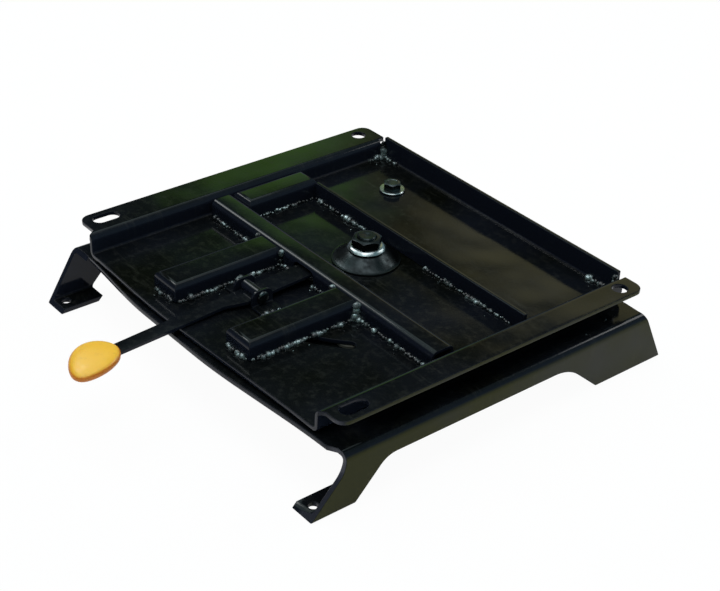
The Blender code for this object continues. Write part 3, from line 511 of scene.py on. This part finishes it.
class SWIVEL_OT_sheets(bpy.types.Operator):
    """Dress the folded sheets, channels and lever bar in enamel"""

    bl_idname = "swivel.sheets"
    bl_label = "Enamelled sheets"

    def execute(self, context):
        settings = context.scene.swivel_enamel
        paint = material_named("black_sprayed_enamel", enamel, tuple(settings.colour),
                               settings.roughness)
        for body, nodes in SHEETS.items():
            for node in nodes:
                mesh = skin_of(node, settings.corner_width)
                if node == "lever_bar":
                    slim_lever(mesh)
                piece = link_piece(node + "_skin", mesh, paint)
                weigh_normals(piece)
                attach(piece, body)
                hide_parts(node)
        return {"FINISHED"}


def ring_shell(name, rings, closed=True):
    """A closed shell through rings of points, each ring with the same count.

    A ring of one point closes an end. Without an end point the first and last ring join up.
    """
    shell = bmesh.new()
    loops = [[shell.verts.new(point) for point in ring] for ring in rings]
    pairs = list(zip(loops, loops[1:]))
    if closed:
        pairs.append((loops[-1], loops[0]))
    for lower, upper in pairs:
        count = max(len(lower), len(upper))
        for step in range(count):
            after = (step + 1) % count
            if len(lower) == 1:
                shell.faces.new((lower[0], upper[after], upper[step]))
            elif len(upper) == 1:
                shell.faces.new((lower[step], lower[after], upper[0]))
            else:
                shell.faces.new((lower[step], lower[after], upper[after], upper[step]))
    bmesh.ops.recalc_face_normals(shell, faces=shell.faces)
    if shell.calc_volume(signed=True) < 0.0:
        bmesh.ops.reverse_faces(shell, faces=shell.faces)
    return finish_mesh(shell, bpy.data.meshes.new(name), TURNED_ANGLE)


def lathe(name, profile, steps, place, closed=True):
    """Turn a profile of radius and height round Z, then put it in place with a matrix."""
    rings = []
    for radius, height in profile:
        if radius == 0.0:
            rings.append([place @ Vector((0.0, 0.0, height))])
            continue
        rings.append([place @ Vector((radius * math.cos(math.tau * s / steps),
                                      radius * math.sin(math.tau * s / steps), height))
                      for s in range(steps)])
    return ring_shell(name, rings, closed)


def hexagon_reach(angle, flats):
    """Distance from the centre of a hexagon to its side at one angle."""
    sector = math.radians(60.0)
    offset = (angle % sector) - sector / 2.0
    return flats / 2.0 / math.cos(offset)


def hex_rings(flats, low, high, turn, chamfer, top_only=False):
    """Rings up the outside of a chamfered hexagon, from its low face to its high face."""
    face_radius = flats * FACE_SHARE
    least_step = 0.01 * MM  # keeps the two lowest rings apart
    rows = {"bottom": [], "low": [], "high": [], "top": []}
    for step in range(ROUND_STEPS):
        angle = math.tau * step / ROUND_STEPS
        reach = hexagon_reach(angle, flats)
        drop = (reach - face_radius) * math.tan(chamfer)
        spoke = Vector((math.cos(angle + turn), math.sin(angle + turn), 0.0))
        lift = Vector((0.0, 0.0, 1.0))
        start = reach if top_only else face_radius
        rise = 0.0 if top_only else drop
        rows["bottom"].append(spoke * start + lift * low)
        rows["low"].append(spoke * reach + lift * (low + rise + least_step))
        rows["high"].append(spoke * reach + lift * (high - drop))
        rows["top"].append(spoke * face_radius + lift * high)
    return [rows["bottom"], rows["low"], rows["high"], rows["top"]]


def circle_ring(radius, height):
    """One ring of points round Z."""
    angles = [math.tau * step / ROUND_STEPS for step in range(ROUND_STEPS)]
    return [Vector((radius * math.cos(angle), radius * math.sin(angle), height))
            for angle in angles]


def bore_rings(bore, low, high, chamfer):
    """Rings down a chamfered bore, from its high end to its low end."""
    return [circle_ring(bore + chamfer, high), circle_ring(bore, high - chamfer),
            circle_ring(bore, low + chamfer), circle_ring(bore + chamfer, low)]


def moved(rings, place):
    """Rings of points put in place with a matrix."""
    return [[place @ Vector(point) for point in ring] for ring in rings]


def node_middle(node):
    """Centre of a CAD node's box."""
    low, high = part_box(node)
    return (Vector(low) + Vector(high)) / 2.0


def fit_piece(name, mesh, material, body, node):
    """Link a piece that stands for one CAD node."""
    piece = link_piece(name, mesh, material)
    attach(piece, body)
    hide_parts(node)
    return piece


class SWIVEL_OT_pivot(bpy.types.Operator):
    """Make the swivel bolt, its nut, collar, cup and sleeve"""

    bl_idname = "swivel.pivot"
    bl_label = "Swivel pivot"

    def execute(self, context):
        settings = context.scene.swivel_fastener
        bright = bright_zinc()
        dark = material_named("oiled_pressed_steel", plated, linear("#2b3031"), linear("#191c1d"),
                              0.26, 2.0 * MM)
        middle = node_middle("pivot_nut")
        place = Matrix.Translation((middle.x, middle.y, 0.0))
        low, high = (corner[2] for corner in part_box("pivot_nut"))
        rings = hex_rings(SWIVEL_FLATS, low, high, math.radians(9.0), settings.chamfer)
        rings += bore_rings(SWIVEL_BORE, low, high, 0.8 * MM)
        fit_piece("swivel_nut", ring_shell("swivel_nut", moved(rings, place)), dark, "base",
                  "pivot_nut")
        self.make_bolt(place, settings, dark)
        low, high = (corner[2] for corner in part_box("pivot_collar"))
        outer, cone = 21.0 * MM, 4.2 * MM
        collar = [(SWIVEL_BORE, low), (outer - 0.3 * MM, low), (outer, low + 0.3 * MM),
                  (outer, low + 0.9 * MM), (outer - 0.25 * cone, high - 0.45 * (high - low)),
                  (outer - 0.6 * cone, high - 0.16 * (high - low)), (outer - cone, high),
                  (SWIVEL_BORE, high)]
        fit_piece("swivel_collar", lathe("swivel_collar", collar, 96, place), bright, "base",
                  "pivot_collar")
        self.make_cup(place, dark)
        fit_piece("swivel_sleeve", skin_of("pivot_sleeve", 0.0), dark, "base", "pivot_sleeve")
        return {"FINISHED"}

    def make_bolt(self, place, settings, material):
        """The bolt with a chamfered head below the deck and a thread above the nut."""
        low, high = (corner[2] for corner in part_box("pivot_bolt"))
        head_top = low + 10.0 * MM
        thread_low = high - 9.0 * MM
        tip_chamfer = 1.2 * MM
        rows_per_turn = 6.0
        rings = [[Vector((0.0, 0.0, low))], circle_ring(13.4 * MM, low)]
        rings += hex_rings(SWIVEL_FLATS, low, head_top, 0.0, settings.chamfer)[1:]
        rings += [circle_ring(SWIVEL_RADIUS, head_top), circle_ring(SWIVEL_RADIUS, thread_low)]
        height = thread_low
        while height < high - tip_chamfer:
            height += settings.thread_pitch / rows_per_turn
            ring = []
            for step in range(ROUND_STEPS):
                angle = math.tau * step / ROUND_STEPS
                phase = (height / settings.thread_pitch - step / ROUND_STEPS) % 1.0
                groove = settings.thread_depth * (1.0 - abs(2.0 * phase - 1.0))
                fade = min(1.0, (height - thread_low) / (1.5 * MM))
                reach = SWIVEL_RADIUS - groove * fade
                ring.append(Vector((reach * math.cos(angle), reach * math.sin(angle), height)))
            rings.append(ring)
        rings += [circle_ring(SWIVEL_RADIUS - tip_chamfer, high), circle_ring(2.0 * MM, high),
                  [Vector((0.0, 0.0, high - 0.8 * MM))]]
        fit_piece("swivel_bolt", ring_shell("swivel_bolt", moved(rings, place), False), material,
                  "base", "pivot_bolt")

    def make_cup(self, place, material):
        """The pressed cup with a rolled lower lip."""
        low, high = (corner[2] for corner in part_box("pivot_cup"))
        wide, narrow, wall = 38.0 * MM, 20.0 * MM, 3.0 * MM
        side = []
        rows = 10
        for row in range(rows + 1):
            share = row / rows
            ease = share * share * (3.0 - 2.0 * share)
            outer = wide - 2.2 * MM + (narrow + 0.6 * MM - wide) * share
            height = low + 1.6 * MM + (high - low - 2.2 * MM) * (0.6 * share + 0.4 * ease)
            side.append((outer, height))
        profile = [(SWIVEL_BORE, high - wall)]
        profile += [(radius - 2.6 * MM, max(low, height - 2.4 * MM))
                    for radius, height in reversed(side)]
        profile += [(wide - 0.8 * MM, low), (wide, low + 0.7 * MM),
                    (wide - 0.3 * MM, low + 1.5 * MM)]
        profile += side
        profile += [(narrow - 0.4 * MM, high - 0.2 * MM), (narrow - 1.4 * MM, high),
                    (SWIVEL_BORE, high)]
        fit_piece("swivel_cup", lathe("swivel_cup", profile, 96, place), material, "base",
                  "pivot_cup")


class SWIVEL_OT_fasteners(bpy.types.Operator):
    """Make the small bolt with its washer, the lever's pin and nut, and the lock pin"""

    bl_idname = "swivel.fasteners"
    bl_label = "Small fasteners"

    def execute(self, context):
        settings = context.scene.swivel_fastener
        bright = bright_zinc()
        dull = material_named("painted_over_zinc", plated, linear("#4a5152"), linear("#26292a"),
                              0.24, 1.2 * MM)
        middle = node_middle("stop_washer")
        place = Matrix.Translation((middle.x, middle.y, 0.0))
        low, high = (corner[2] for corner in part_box("stop_washer"))
        bore, outer, soft = 5.3 * MM, 15.0 * MM, 0.7 * MM
        washer = [(bore, low), (outer - soft, low), (outer, low + soft), (outer, high - soft),
                  (outer - soft, high), (bore, high)]
        fit_piece("small_washer", lathe("small_washer", washer, 72, place), bright, "tray",
                  "stop_washer")
        head_low = high + 0.3 * MM
        shank_low, head_high = (corner[2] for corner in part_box("stop_bolt"))
        tip_chamfer = 0.6 * MM
        rings = [[Vector((0.0, 0.0, shank_low))],
                 circle_ring(SMALL_RADIUS - tip_chamfer, shank_low),
                 circle_ring(SMALL_RADIUS, shank_low + tip_chamfer),
                 circle_ring(SMALL_RADIUS, head_low)]
        rings += hex_rings(SMALL_FLATS, head_low, head_high, math.radians(20.0),
                           settings.chamfer, top_only=True)
        rings += [circle_ring(6.6 * MM, head_high), circle_ring(6.0 * MM, head_high - 0.5 * MM),
                  [Vector((0.0, 0.0, head_high - 0.6 * MM))]]
        fit_piece("small_bolt", ring_shell("small_bolt", moved(rings, place), False), dull, "tray",
                  "stop_bolt")
        self.make_hinge(settings, dull)
        fit_piece("lock_pin_skin", skin_of("lock_pin", 0.0), bright, "lever", "lock_pin")
        return {"FINISHED"}

    def make_hinge(self, settings, material):
        """The lever's pin with a domed head, and its nut."""
        low, high = (Vector(corner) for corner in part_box("hinge_pin"))
        centre = (low + high) / 2.0
        turn = Matrix.Rotation(math.radians(90.0), 4, "Y")
        place = Matrix.Translation((0.0, centre.y, centre.z)) @ turn
        head, rim, dome = 6.8 * MM, 1.4 * MM, 2.6 * MM
        tip_chamfer = 0.6 * MM
        start = high.x - rim - dome
        profile = [(0.0, low.x), (HINGE_RADIUS - tip_chamfer, low.x),
                   (HINGE_RADIUS, low.x + tip_chamfer), (HINGE_RADIUS, start),
                   (head, start), (head, start + rim)]
        for row in range(1, 6):
            angle = math.radians(90.0 * row / 6.0)
            profile.append((head * math.cos(angle), start + rim + dome * math.sin(angle)))
        profile.append((0.0, high.x))
        fit_piece("lever_pin", lathe("lever_pin", profile, 48, place, False), material, "tray",
                  "hinge_pin")
        low, high = (corner[0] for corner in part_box("hinge_nut"))
        rings = hex_rings(HINGE_FLATS, low, high, 0.0, settings.chamfer)
        rings += bore_rings(HINGE_RADIUS + 0.3 * MM, low, high, 0.4 * MM)
        fit_piece("lever_nut", ring_shell("lever_nut", moved(rings, place)), material, "tray",
                  "hinge_nut")


class SWIVEL_OT_grip(bpy.types.Operator):
    """Make the moulded oval grip of the lever"""

    bl_idname = "swivel.grip"
    bl_label = "Lever grip"

    def execute(self, context):
        settings = context.scene.swivel_grip
        vinyl = material_named("yellow_dipped_vinyl", grip_plastic, tuple(settings.top),
                               tuple(settings.rim))
        rim_start, rim_width = 0.95, 0.6  # by how far a normal points up
        shell = merged_copy("lever_grip")
        # The rim attribute carries painted shade: it grows as a face turns from straight up
        rim = shell.verts.layers.float.new("rim")
        shell.normal_update()
        for vertex in shell.verts:
            vertex[rim] = min(1.0, max(0.0, (rim_start - vertex.normal.z) / rim_width))
        mesh = finish_mesh(shell, bpy.data.meshes.new("oval_grip"), GRIP_ANGLE)
        fit_piece("oval_grip", mesh, vinyl, "lever", "lever_grip")
        return {"FINISHED"}


class SWIVEL_OT_glides(bpy.types.Operator):
    """Give the hidden glide ring and pads their nylon"""

    bl_idname = "swivel.glides"
    bl_label = "Glide pieces"

    def execute(self, context):
        plastic = material_named("moulded_nylon", nylon)
        for node in GLIDES:
            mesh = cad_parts[node].data
            mesh.materials.clear()
            mesh.materials.append(plastic)
        return {"FINISHED"}


def weld_tree(material, spatter_floor, spread):
    """Nodes that turn curves into rippled beads with drops of spatter beside them.

    Each ripple is a ball, longer across the bead than along it, at its curve point's weight.
    """
    ripple_shape = (0.85, 1.0, 0.8)
    least_drift, most_drift = (-1.1 * MM, -1.1 * MM, -0.6 * MM), (1.1 * MM, 1.1 * MM, 0.8 * MM)
    tree = bpy.data.node_groups.new("Weld bead", "GeometryNodeTree")
    face = tree.interface
    face.new_socket("Geometry", in_out="INPUT", socket_type="NodeSocketGeometry")
    for name in ("Bead radius", "Ripple spacing", "Spatter radius"):
        face.new_socket(name, in_out="INPUT", socket_type="NodeSocketFloat")
    face.new_socket("Seed", in_out="INPUT", socket_type="NodeSocketInt")
    face.new_socket("Geometry", in_out="OUTPUT", socket_type="NodeSocketGeometry")
    given = add_node(tree, "NodeGroupInput").outputs
    line = add_node(tree, "GeometryNodeResampleCurve", {"mode": "LENGTH"}, {
        "Curve": given["Geometry"], "Length": given["Ripple spacing"]}).outputs[0]
    tangent = add_node(tree, "GeometryNodeInputTangent").outputs[0]
    facing = add_node(tree, "FunctionNodeAlignRotationToVector", {"axis": "X"}, {
        "Vector": tangent}).outputs[0]
    swell = add_node(tree, "FunctionNodeRandomValue", {"data_type": "FLOAT", 2: 0.55, 3: 1.35}, {
        "Seed": given["Seed"]}).outputs[1]
    drift = add_node(tree, "FunctionNodeRandomValue", {
        "data_type": "FLOAT_VECTOR", 0: least_drift, 1: most_drift,
    }, {"Seed": given["Seed"]}).outputs[0]
    line = add_node(tree, "GeometryNodeSetPosition", None, {
        "Geometry": line, "Offset": drift}).outputs[0]
    ball = add_node(tree, "GeometryNodeMeshIcoSphere", {"Subdivisions": 2}, {
        "Radius": given["Bead radius"]}).outputs["Mesh"]
    weight = add_node(tree, "GeometryNodeInputRadius").outputs[0]
    swell = math_node(tree, "MULTIPLY", swell, weight)
    ripple = add_node(tree, "GeometryNodeTransform", {"Scale": ripple_shape}, {
        "Geometry": ball}).outputs[0]
    beads = add_node(tree, "GeometryNodeInstanceOnPoints", None, {
        "Points": line, "Instance": ripple, "Rotation": facing, "Scale": swell}).outputs[0]
    # Drops lie on the sheet, scattered to both sides of the bead
    sparse = add_node(tree, "GeometryNodeResampleCurve", {
        "mode": "LENGTH", "Length": DROP_SPACING}, {"Curve": given["Geometry"]}).outputs[0]
    scatter = add_node(tree, "FunctionNodeRandomValue", {
        "data_type": "FLOAT_VECTOR", 0: (-spread, -spread, 0.0), 1: (spread, spread, 0.0),
    }, {"Seed": given["Seed"]}).outputs[0]
    spot = add_node(tree, "GeometryNodeInputPosition").outputs[0]
    parts = add_node(tree, "ShaderNodeSeparateXYZ", None, {0: spot}).outputs
    flat = add_node(tree, "ShaderNodeCombineXYZ", {2: spatter_floor}, {
        0: parts[0], 1: parts[1]}).outputs[0]
    sparse = add_node(tree, "GeometryNodeSetPosition", None, {
        "Geometry": sparse, "Position": flat, "Offset": scatter}).outputs[0]
    size = add_node(tree, "FunctionNodeRandomValue", {"data_type": "FLOAT", 2: 0.3, 3: 1.25}, {
        "Seed": given["Seed"]}).outputs[1]
    drop = add_node(tree, "GeometryNodeMeshIcoSphere", {"Subdivisions": 2}, {
        "Radius": given["Spatter radius"]}).outputs["Mesh"]
    drops = add_node(tree, "GeometryNodeInstanceOnPoints", None, {
        "Points": sparse, "Instance": drop, "Scale": size}).outputs[0]
    both = add_node(tree, "GeometryNodeJoinGeometry")
    for source in (beads, drops):
        tree.links.new(both.inputs[0], source)
    solid = add_node(tree, "GeometryNodeRealizeInstances", None, {0: both.outputs[0]}).outputs[0]
    smooth = add_node(tree, "GeometryNodeSetShadeSmooth", None, {0: solid}).outputs[0]
    done = add_node(tree, "GeometryNodeSetMaterial", {"Material": material}, {
        "Geometry": smooth}).outputs[0]
    add_node(tree, "NodeGroupOutput", None, {0: done})
    return tree


def weld_lines():
    """The tray's weld lines in metres: the two ends and the weight of each bead."""
    beam_low, beam_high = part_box("cross_beam")
    floor = beam_low[2] + BEAD_OVER
    lines = []

    def run(start, end, height=None, weight=1.0):
        lines.append((Vector((*start, floor)), Vector((*end, height or floor)), weight))

    def along(y, start, end):
        run((start, y), (end, y))

    def across(x, start, end):
        run((x, start), (x, end))

    for node in ("left_channel", "right_channel"):
        low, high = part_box(node)
        across(high[0] + BEAD_OFF, low[1] + CHANNEL_INSET, high[1] - MM)
        across(low[0] - BEAD_OFF, high[1] - MM, low[1] + CHANNEL_OPEN)
        along(low[1] - BEAD_OFF, low[0] + CHANNEL_INSET, high[0] - CHANNEL_INSET)
        # Upright beads in the two corners with the beam
        meeting = beam_low[1] - 1.2 * MM
        for side in (low[0] - 0.5 * MM, high[0] + 0.5 * MM):
            run((side, meeting), (side, meeting), beam_high[2] - 3.0 * MM, 1.35)
    front = beam_low[1] - BEAD_OFF
    rear = beam_high[1] + BEAD_OFF
    left_low, left_high = (corner[0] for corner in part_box("left_channel"))
    right_low, right_high = (corner[0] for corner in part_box("right_channel"))
    along(front, right_high + MM, beam_high[0] - 8.0 * MM)
    along(front, beam_low[0] + 8.0 * MM, left_low - MM)
    # The lever swings through the beam between these two short beads
    lever_low, lever_high = (corner[0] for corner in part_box("lever_bar"))
    along(front, left_high + MM, lever_low - LEVER_ROOM)
    along(front, lever_high + LEVER_ROOM, right_low - MM)
    along(rear, beam_low[0] + 44.0 * MM, -55.0 * MM)
    along(rear, 60.0 * MM, beam_high[0] - 30.0 * MM)
    low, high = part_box("side_block")
    across(high[0] + BEAD_OFF, low[1] + 3.0 * MM, high[1] - 8.0 * MM)
    # Two beads in front of the rib and two behind it
    low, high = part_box("rear_rib")
    along(low[1] - BEAD_OFF, low[0] + 4.0 * MM, low[0] + 92.0 * MM)
    along(low[1] - BEAD_OFF, high[0] - 150.0 * MM, high[0] - 20.0 * MM)
    for start in (51.0 * MM, 210.8 * MM):
        along(high[1] + BEAD_OFF, low[0] + start, low[0] + start + 68.0 * MM)
    left_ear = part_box("left_ear")
    across(left_ear[0][0] - BEAD_OFF, left_ear[0][1] + 2.0 * MM, left_ear[1][1] - 2.0 * MM)
    right_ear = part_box("right_ear")
    across(right_ear[1][0] + BEAD_OFF, right_ear[0][1] + 2.0 * MM, right_ear[1][1] - 2.0 * MM)
    # The tray's rear corners: an upright bead, one along the rear wall and one along the side
    tray_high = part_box("seat_tray")[1]
    wall = tray_high[1] - 6.6 * MM
    for x, inward, weight in ((-191.5 * MM, 26.0 * MM, 1.0), (192.0 * MM, -36.0 * MM, 1.4)):
        run((x, wall), (x, wall), tray_high[2] - 6.0 * MM, 1.3)
        run((x, wall), (x + inward, wall), None, weight)
        across(x, wall, wall - 20.0 * MM)
    return lines, floor - 0.4 * MM


def deck_lines():
    """Short welds on the right rear of the base deck, and the deck's height.

    The beads are sunk in the deck, for the tray turns 3 mm above it.
    """
    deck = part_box("base_frame")[1][2]
    height = deck - DECK_SINK
    lines = [(Vector((*start, height)), Vector((*end, height)), 0.55)
             for start, end in DECK_SPOTS]
    return lines, deck


def weld_curve(lines):
    """One curve object with a wandering spline along each weld line."""
    point_spacing = 6.0 * MM
    curve = bpy.data.curves.new("weld_route", "CURVE")
    curve.dimensions = "3D"
    for start, end, weight in lines:
        count = max(2, int((end - start).length / point_spacing))
        spline = curve.splines.new("POLY")
        spline.points.add(count)
        for step, point in enumerate(spline.points):
            place = start.lerp(end, step / count)
            sway = noise.noise_vector(place * 140.0) * 0.5 * MM
            point.co = (place.x + sway.x, place.y + sway.y, place.z, 1.0)
            point.radius = weight * (1.0 + 0.7 * noise.noise(place * 60.0))
    route = bpy.data.objects.new("weld_route", curve)
    bpy.context.scene.collection.objects.link(route)
    return route


def lay_welds(name, body, settings, material, spread, lines, floor):
    """One mesh with the beads and drops along some lines."""
    noise.seed_set(settings.seed)
    route = weld_curve(lines)
    tree = weld_tree(material, floor, spread)
    step = route.modifiers.new("Beads", "NODES")
    step.node_group = tree
    values = {"Bead radius": settings.bead_radius, "Ripple spacing": settings.ripple_spacing,
              "Spatter radius": settings.spatter_radius, "Seed": settings.seed}
    for item in tree.interface.items_tree:
        if item.name in values and item.in_out == "INPUT":
            step[item.identifier] = values[item.name]
    graph = bpy.context.evaluated_depsgraph_get()
    mesh = bpy.data.meshes.new_from_object(route.evaluated_get(graph), depsgraph=graph)
    bpy.data.objects.remove(route, do_unlink=True)
    if not mesh.polygons:
        raise RuntimeError(name + " came out empty")
    mesh.name = name
    piece = link_piece(name, mesh, material)
    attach(piece, body)


class SWIVEL_OT_welds(bpy.types.Operator):
    """Lay the weld beads and their spatter on the tray and the base deck"""

    bl_idname = "swivel.welds"
    bl_label = "Weld beads"

    def execute(self, context):
        settings = context.scene.swivel_weld
        material = material_named("painted_arc_weld", painted_weld)
        lay_welds("tray_welds", "tray", settings, material, TRAY_SPREAD, *weld_lines())
        lay_welds("base_welds", "base", settings, material, DECK_SPREAD, *deck_lines())
        return {"FINISHED"}


def floor_material(name):
    """Matt white paper sweep: plain white to camera, mirror and lens, with a soft shadow."""
    glow_share = 0.96
    material, tree, shader = new_material(name)
    tree.nodes.remove(shader)
    rays = add_node(tree, "ShaderNodeLightPath").outputs
    seen = math_node(tree, "MAXIMUM", rays["Is Camera Ray"], rays["Is Glossy Ray"])
    seen = math_node(tree, "MAXIMUM", seen, rays["Is Transmission Ray"])
    share = math_node(tree, "MULTIPLY", seen, glow_share)
    paper = add_node(tree, "ShaderNodeBsdfDiffuse", {"Color": linear("#f6f6f5")}).outputs[0]
    glow = add_node(tree, "ShaderNodeEmission", {"Color": WHITE, "Strength": 1.0}).outputs[0]
    mixed = add_node(tree, "ShaderNodeMixShader", None, {0: share, 1: paper, 2: glow}).outputs[0]
    tree.links.new(tree.nodes["Material Output"].inputs["Surface"], mixed)
    return material


def studio_world(scene):
    """The room round the part: white to the camera, and pale and dark bands to the enamel.

    A band is picked by height (up), by the side of the picture (across, more to the right) and
    by a height that leans to the right (slanted).
    """
    world = bpy.data.worlds.new("Studio")
    world.use_nodes = True
    scene.world = world
    tree = world.node_tree
    background = tree.nodes["Background"]
    way = add_node(tree, "ShaderNodeTexCoord").outputs["Generated"]
    across = add_node(tree, "ShaderNodeVectorMath", {
        "operation": "DOT_PRODUCT", 1: CAMERA_RIGHT}, {0: way}).outputs["Value"]
    up = add_node(tree, "ShaderNodeSeparateXYZ", None, {0: way}).outputs["Z"]
    slanted = math_node(tree, "SUBTRACT", up, math_node(tree, "MULTIPLY", across, SKY_SLANT))
    # From left to right: a dark card, green, grey-olive, pale yellow
    tint = blend_colours(tree, level(tree, across, -0.02, 0.035),
                         linear("#a8ee6e"), linear("#75725c"))
    tint = blend_colours(tree, level(tree, across, 0.045, 0.10), tint, linear("#f0eab0"))
    tint = blend_colours(tree, level(tree, across, -0.125, -0.075), SKY_CARD, tint)
    # From low to high: blue-grey, the tints, dark, bright and the white ceiling
    sky = blend_colours(tree, level(tree, slanted, 0.22, 0.36), SKY_LOW, tint)
    sky = blend_colours(tree, level(tree, slanted, 0.478, 0.512), sky, SKY_DARK)
    above = blend_colours(tree, level(tree, across, 0.08, 0.15), SKY_ABOVE, SKY_BEND)
    sky = blend_colours(tree, level(tree, up, 0.61, 0.67), sky, above)
    sky = blend_colours(tree, level(tree, up, 0.80, 0.93), sky, SKY_TOP)
    # Far to the right a dim teal, which the bend of the right skirt mirrors
    sky = blend_colours(tree, level(tree, across, 0.22, 0.32), sky, SKY_BEND)
    seen = add_node(tree, "ShaderNodeLightPath").outputs["Is Camera Ray"]
    tree.links.new(background.inputs["Color"], blend_colours(tree, seen, sky, WHITE))
    background.inputs["Strength"].default_value = 1.0


def add_lamp(name, place, size, power):
    """A square soft lamp aimed at the part."""
    lamp = bpy.data.lights.new(name, "AREA")
    lamp.energy = power
    lamp.size = size
    item = bpy.data.objects.new(name, lamp)
    item.location = place
    item.rotation_euler = (Vector(LAMP_AIM) - Vector(place)).to_track_quat("-Z", "Y").to_euler()
    bpy.context.scene.collection.objects.link(item)


class SWIVEL_OT_studio(bpy.types.Operator):
    """Set up the floor, the sky, the lamps and the camera"""

    bl_idname = "swivel.studio"
    bl_label = "Studio"

    def execute(self, context):
        settings = context.scene.swivel_studio
        scene = context.scene
        mesh = bpy.data.meshes.new("paper_floor")
        corners = [(x * FLOOR_REACH, y * FLOOR_REACH, 0.0)
                   for x, y in ((-1, -1), (1, -1), (1, 1), (-1, 1))]
        mesh.from_pydata(corners, [], [(0, 1, 2, 3)])
        paper = material_named("white_paper_sweep", floor_material)
        link_piece("paper_floor", mesh, paper)
        studio_world(scene)
        add_lamp("Key", *KEY_LAMP, settings.key_power)
        add_lamp("Fill", *FILL_LAMP, settings.fill_power)
        add_lamp("Top", *TOP_LAMP, settings.top_power)
        lens = bpy.data.cameras.new("Camera")
        lens.sensor_fit = "HORIZONTAL"
        lens.sensor_width = 36.0
        lens.lens = settings.lens
        lens.clip_start = 0.05
        lens.clip_end = 60.0
        camera = bpy.data.objects.new("Camera", lens)
        back = PICTURE_RIGHT.cross(PICTURE_UP)
        turn = Matrix((PICTURE_RIGHT, PICTURE_UP, back)).transposed().to_4x4()
        camera.matrix_world = Matrix.Translation(CAMERA_PLACE) @ turn
        scene.collection.objects.link(camera)
        scene.camera = camera
        scene.view_settings.view_transform = "Standard"
        return {"FINISHED"}


class SWIVEL_PT_tools(bpy.types.Panel):
    """Buttons for each group of pieces"""

    bl_idname = "SWIVEL_PT_tools"
    bl_label = "Swivel base"
    bl_space_type = "VIEW_3D"
    bl_region_type = "UI"
    bl_category = "Swivel base"

    def draw(self, context):
        for operator in OPERATORS:
            self.layout.operator(operator.bl_idname)


GROUPS = {
    "swivel_enamel": SwivelEnamel, "swivel_weld": SwivelWeld, "swivel_fastener": SwivelFastener,
    "swivel_grip": SwivelGrip, "swivel_studio": SwivelStudio,
}
OPERATORS = (SWIVEL_OT_sheets, SWIVEL_OT_pivot, SWIVEL_OT_fasteners, SWIVEL_OT_grip,
             SWIVEL_OT_glides, SWIVEL_OT_welds, SWIVEL_OT_studio)
CLASSES = tuple(GROUPS.values()) + OPERATORS + (SWIVEL_PT_tools,)


def register():
    """Register the classes and their settings."""
    for item in CLASSES:
        bpy.utils.register_class(item)
    for name, group in GROUPS.items():
        setattr(bpy.types.Scene, name, PointerProperty(type=group))


def unregister():
    """Remove the settings and the classes."""
    for name in GROUPS:
        delattr(bpy.types.Scene, name)
    for item in reversed(CLASSES):
        bpy.utils.unregister_class(item)


def main():
    """Make every piece and the stage."""
    register()
    for operator in OPERATORS:
        group, action = operator.bl_idname.split(".")
        getattr(getattr(bpy.ops, group), action)()


if __name__ == "__main__":
    main()
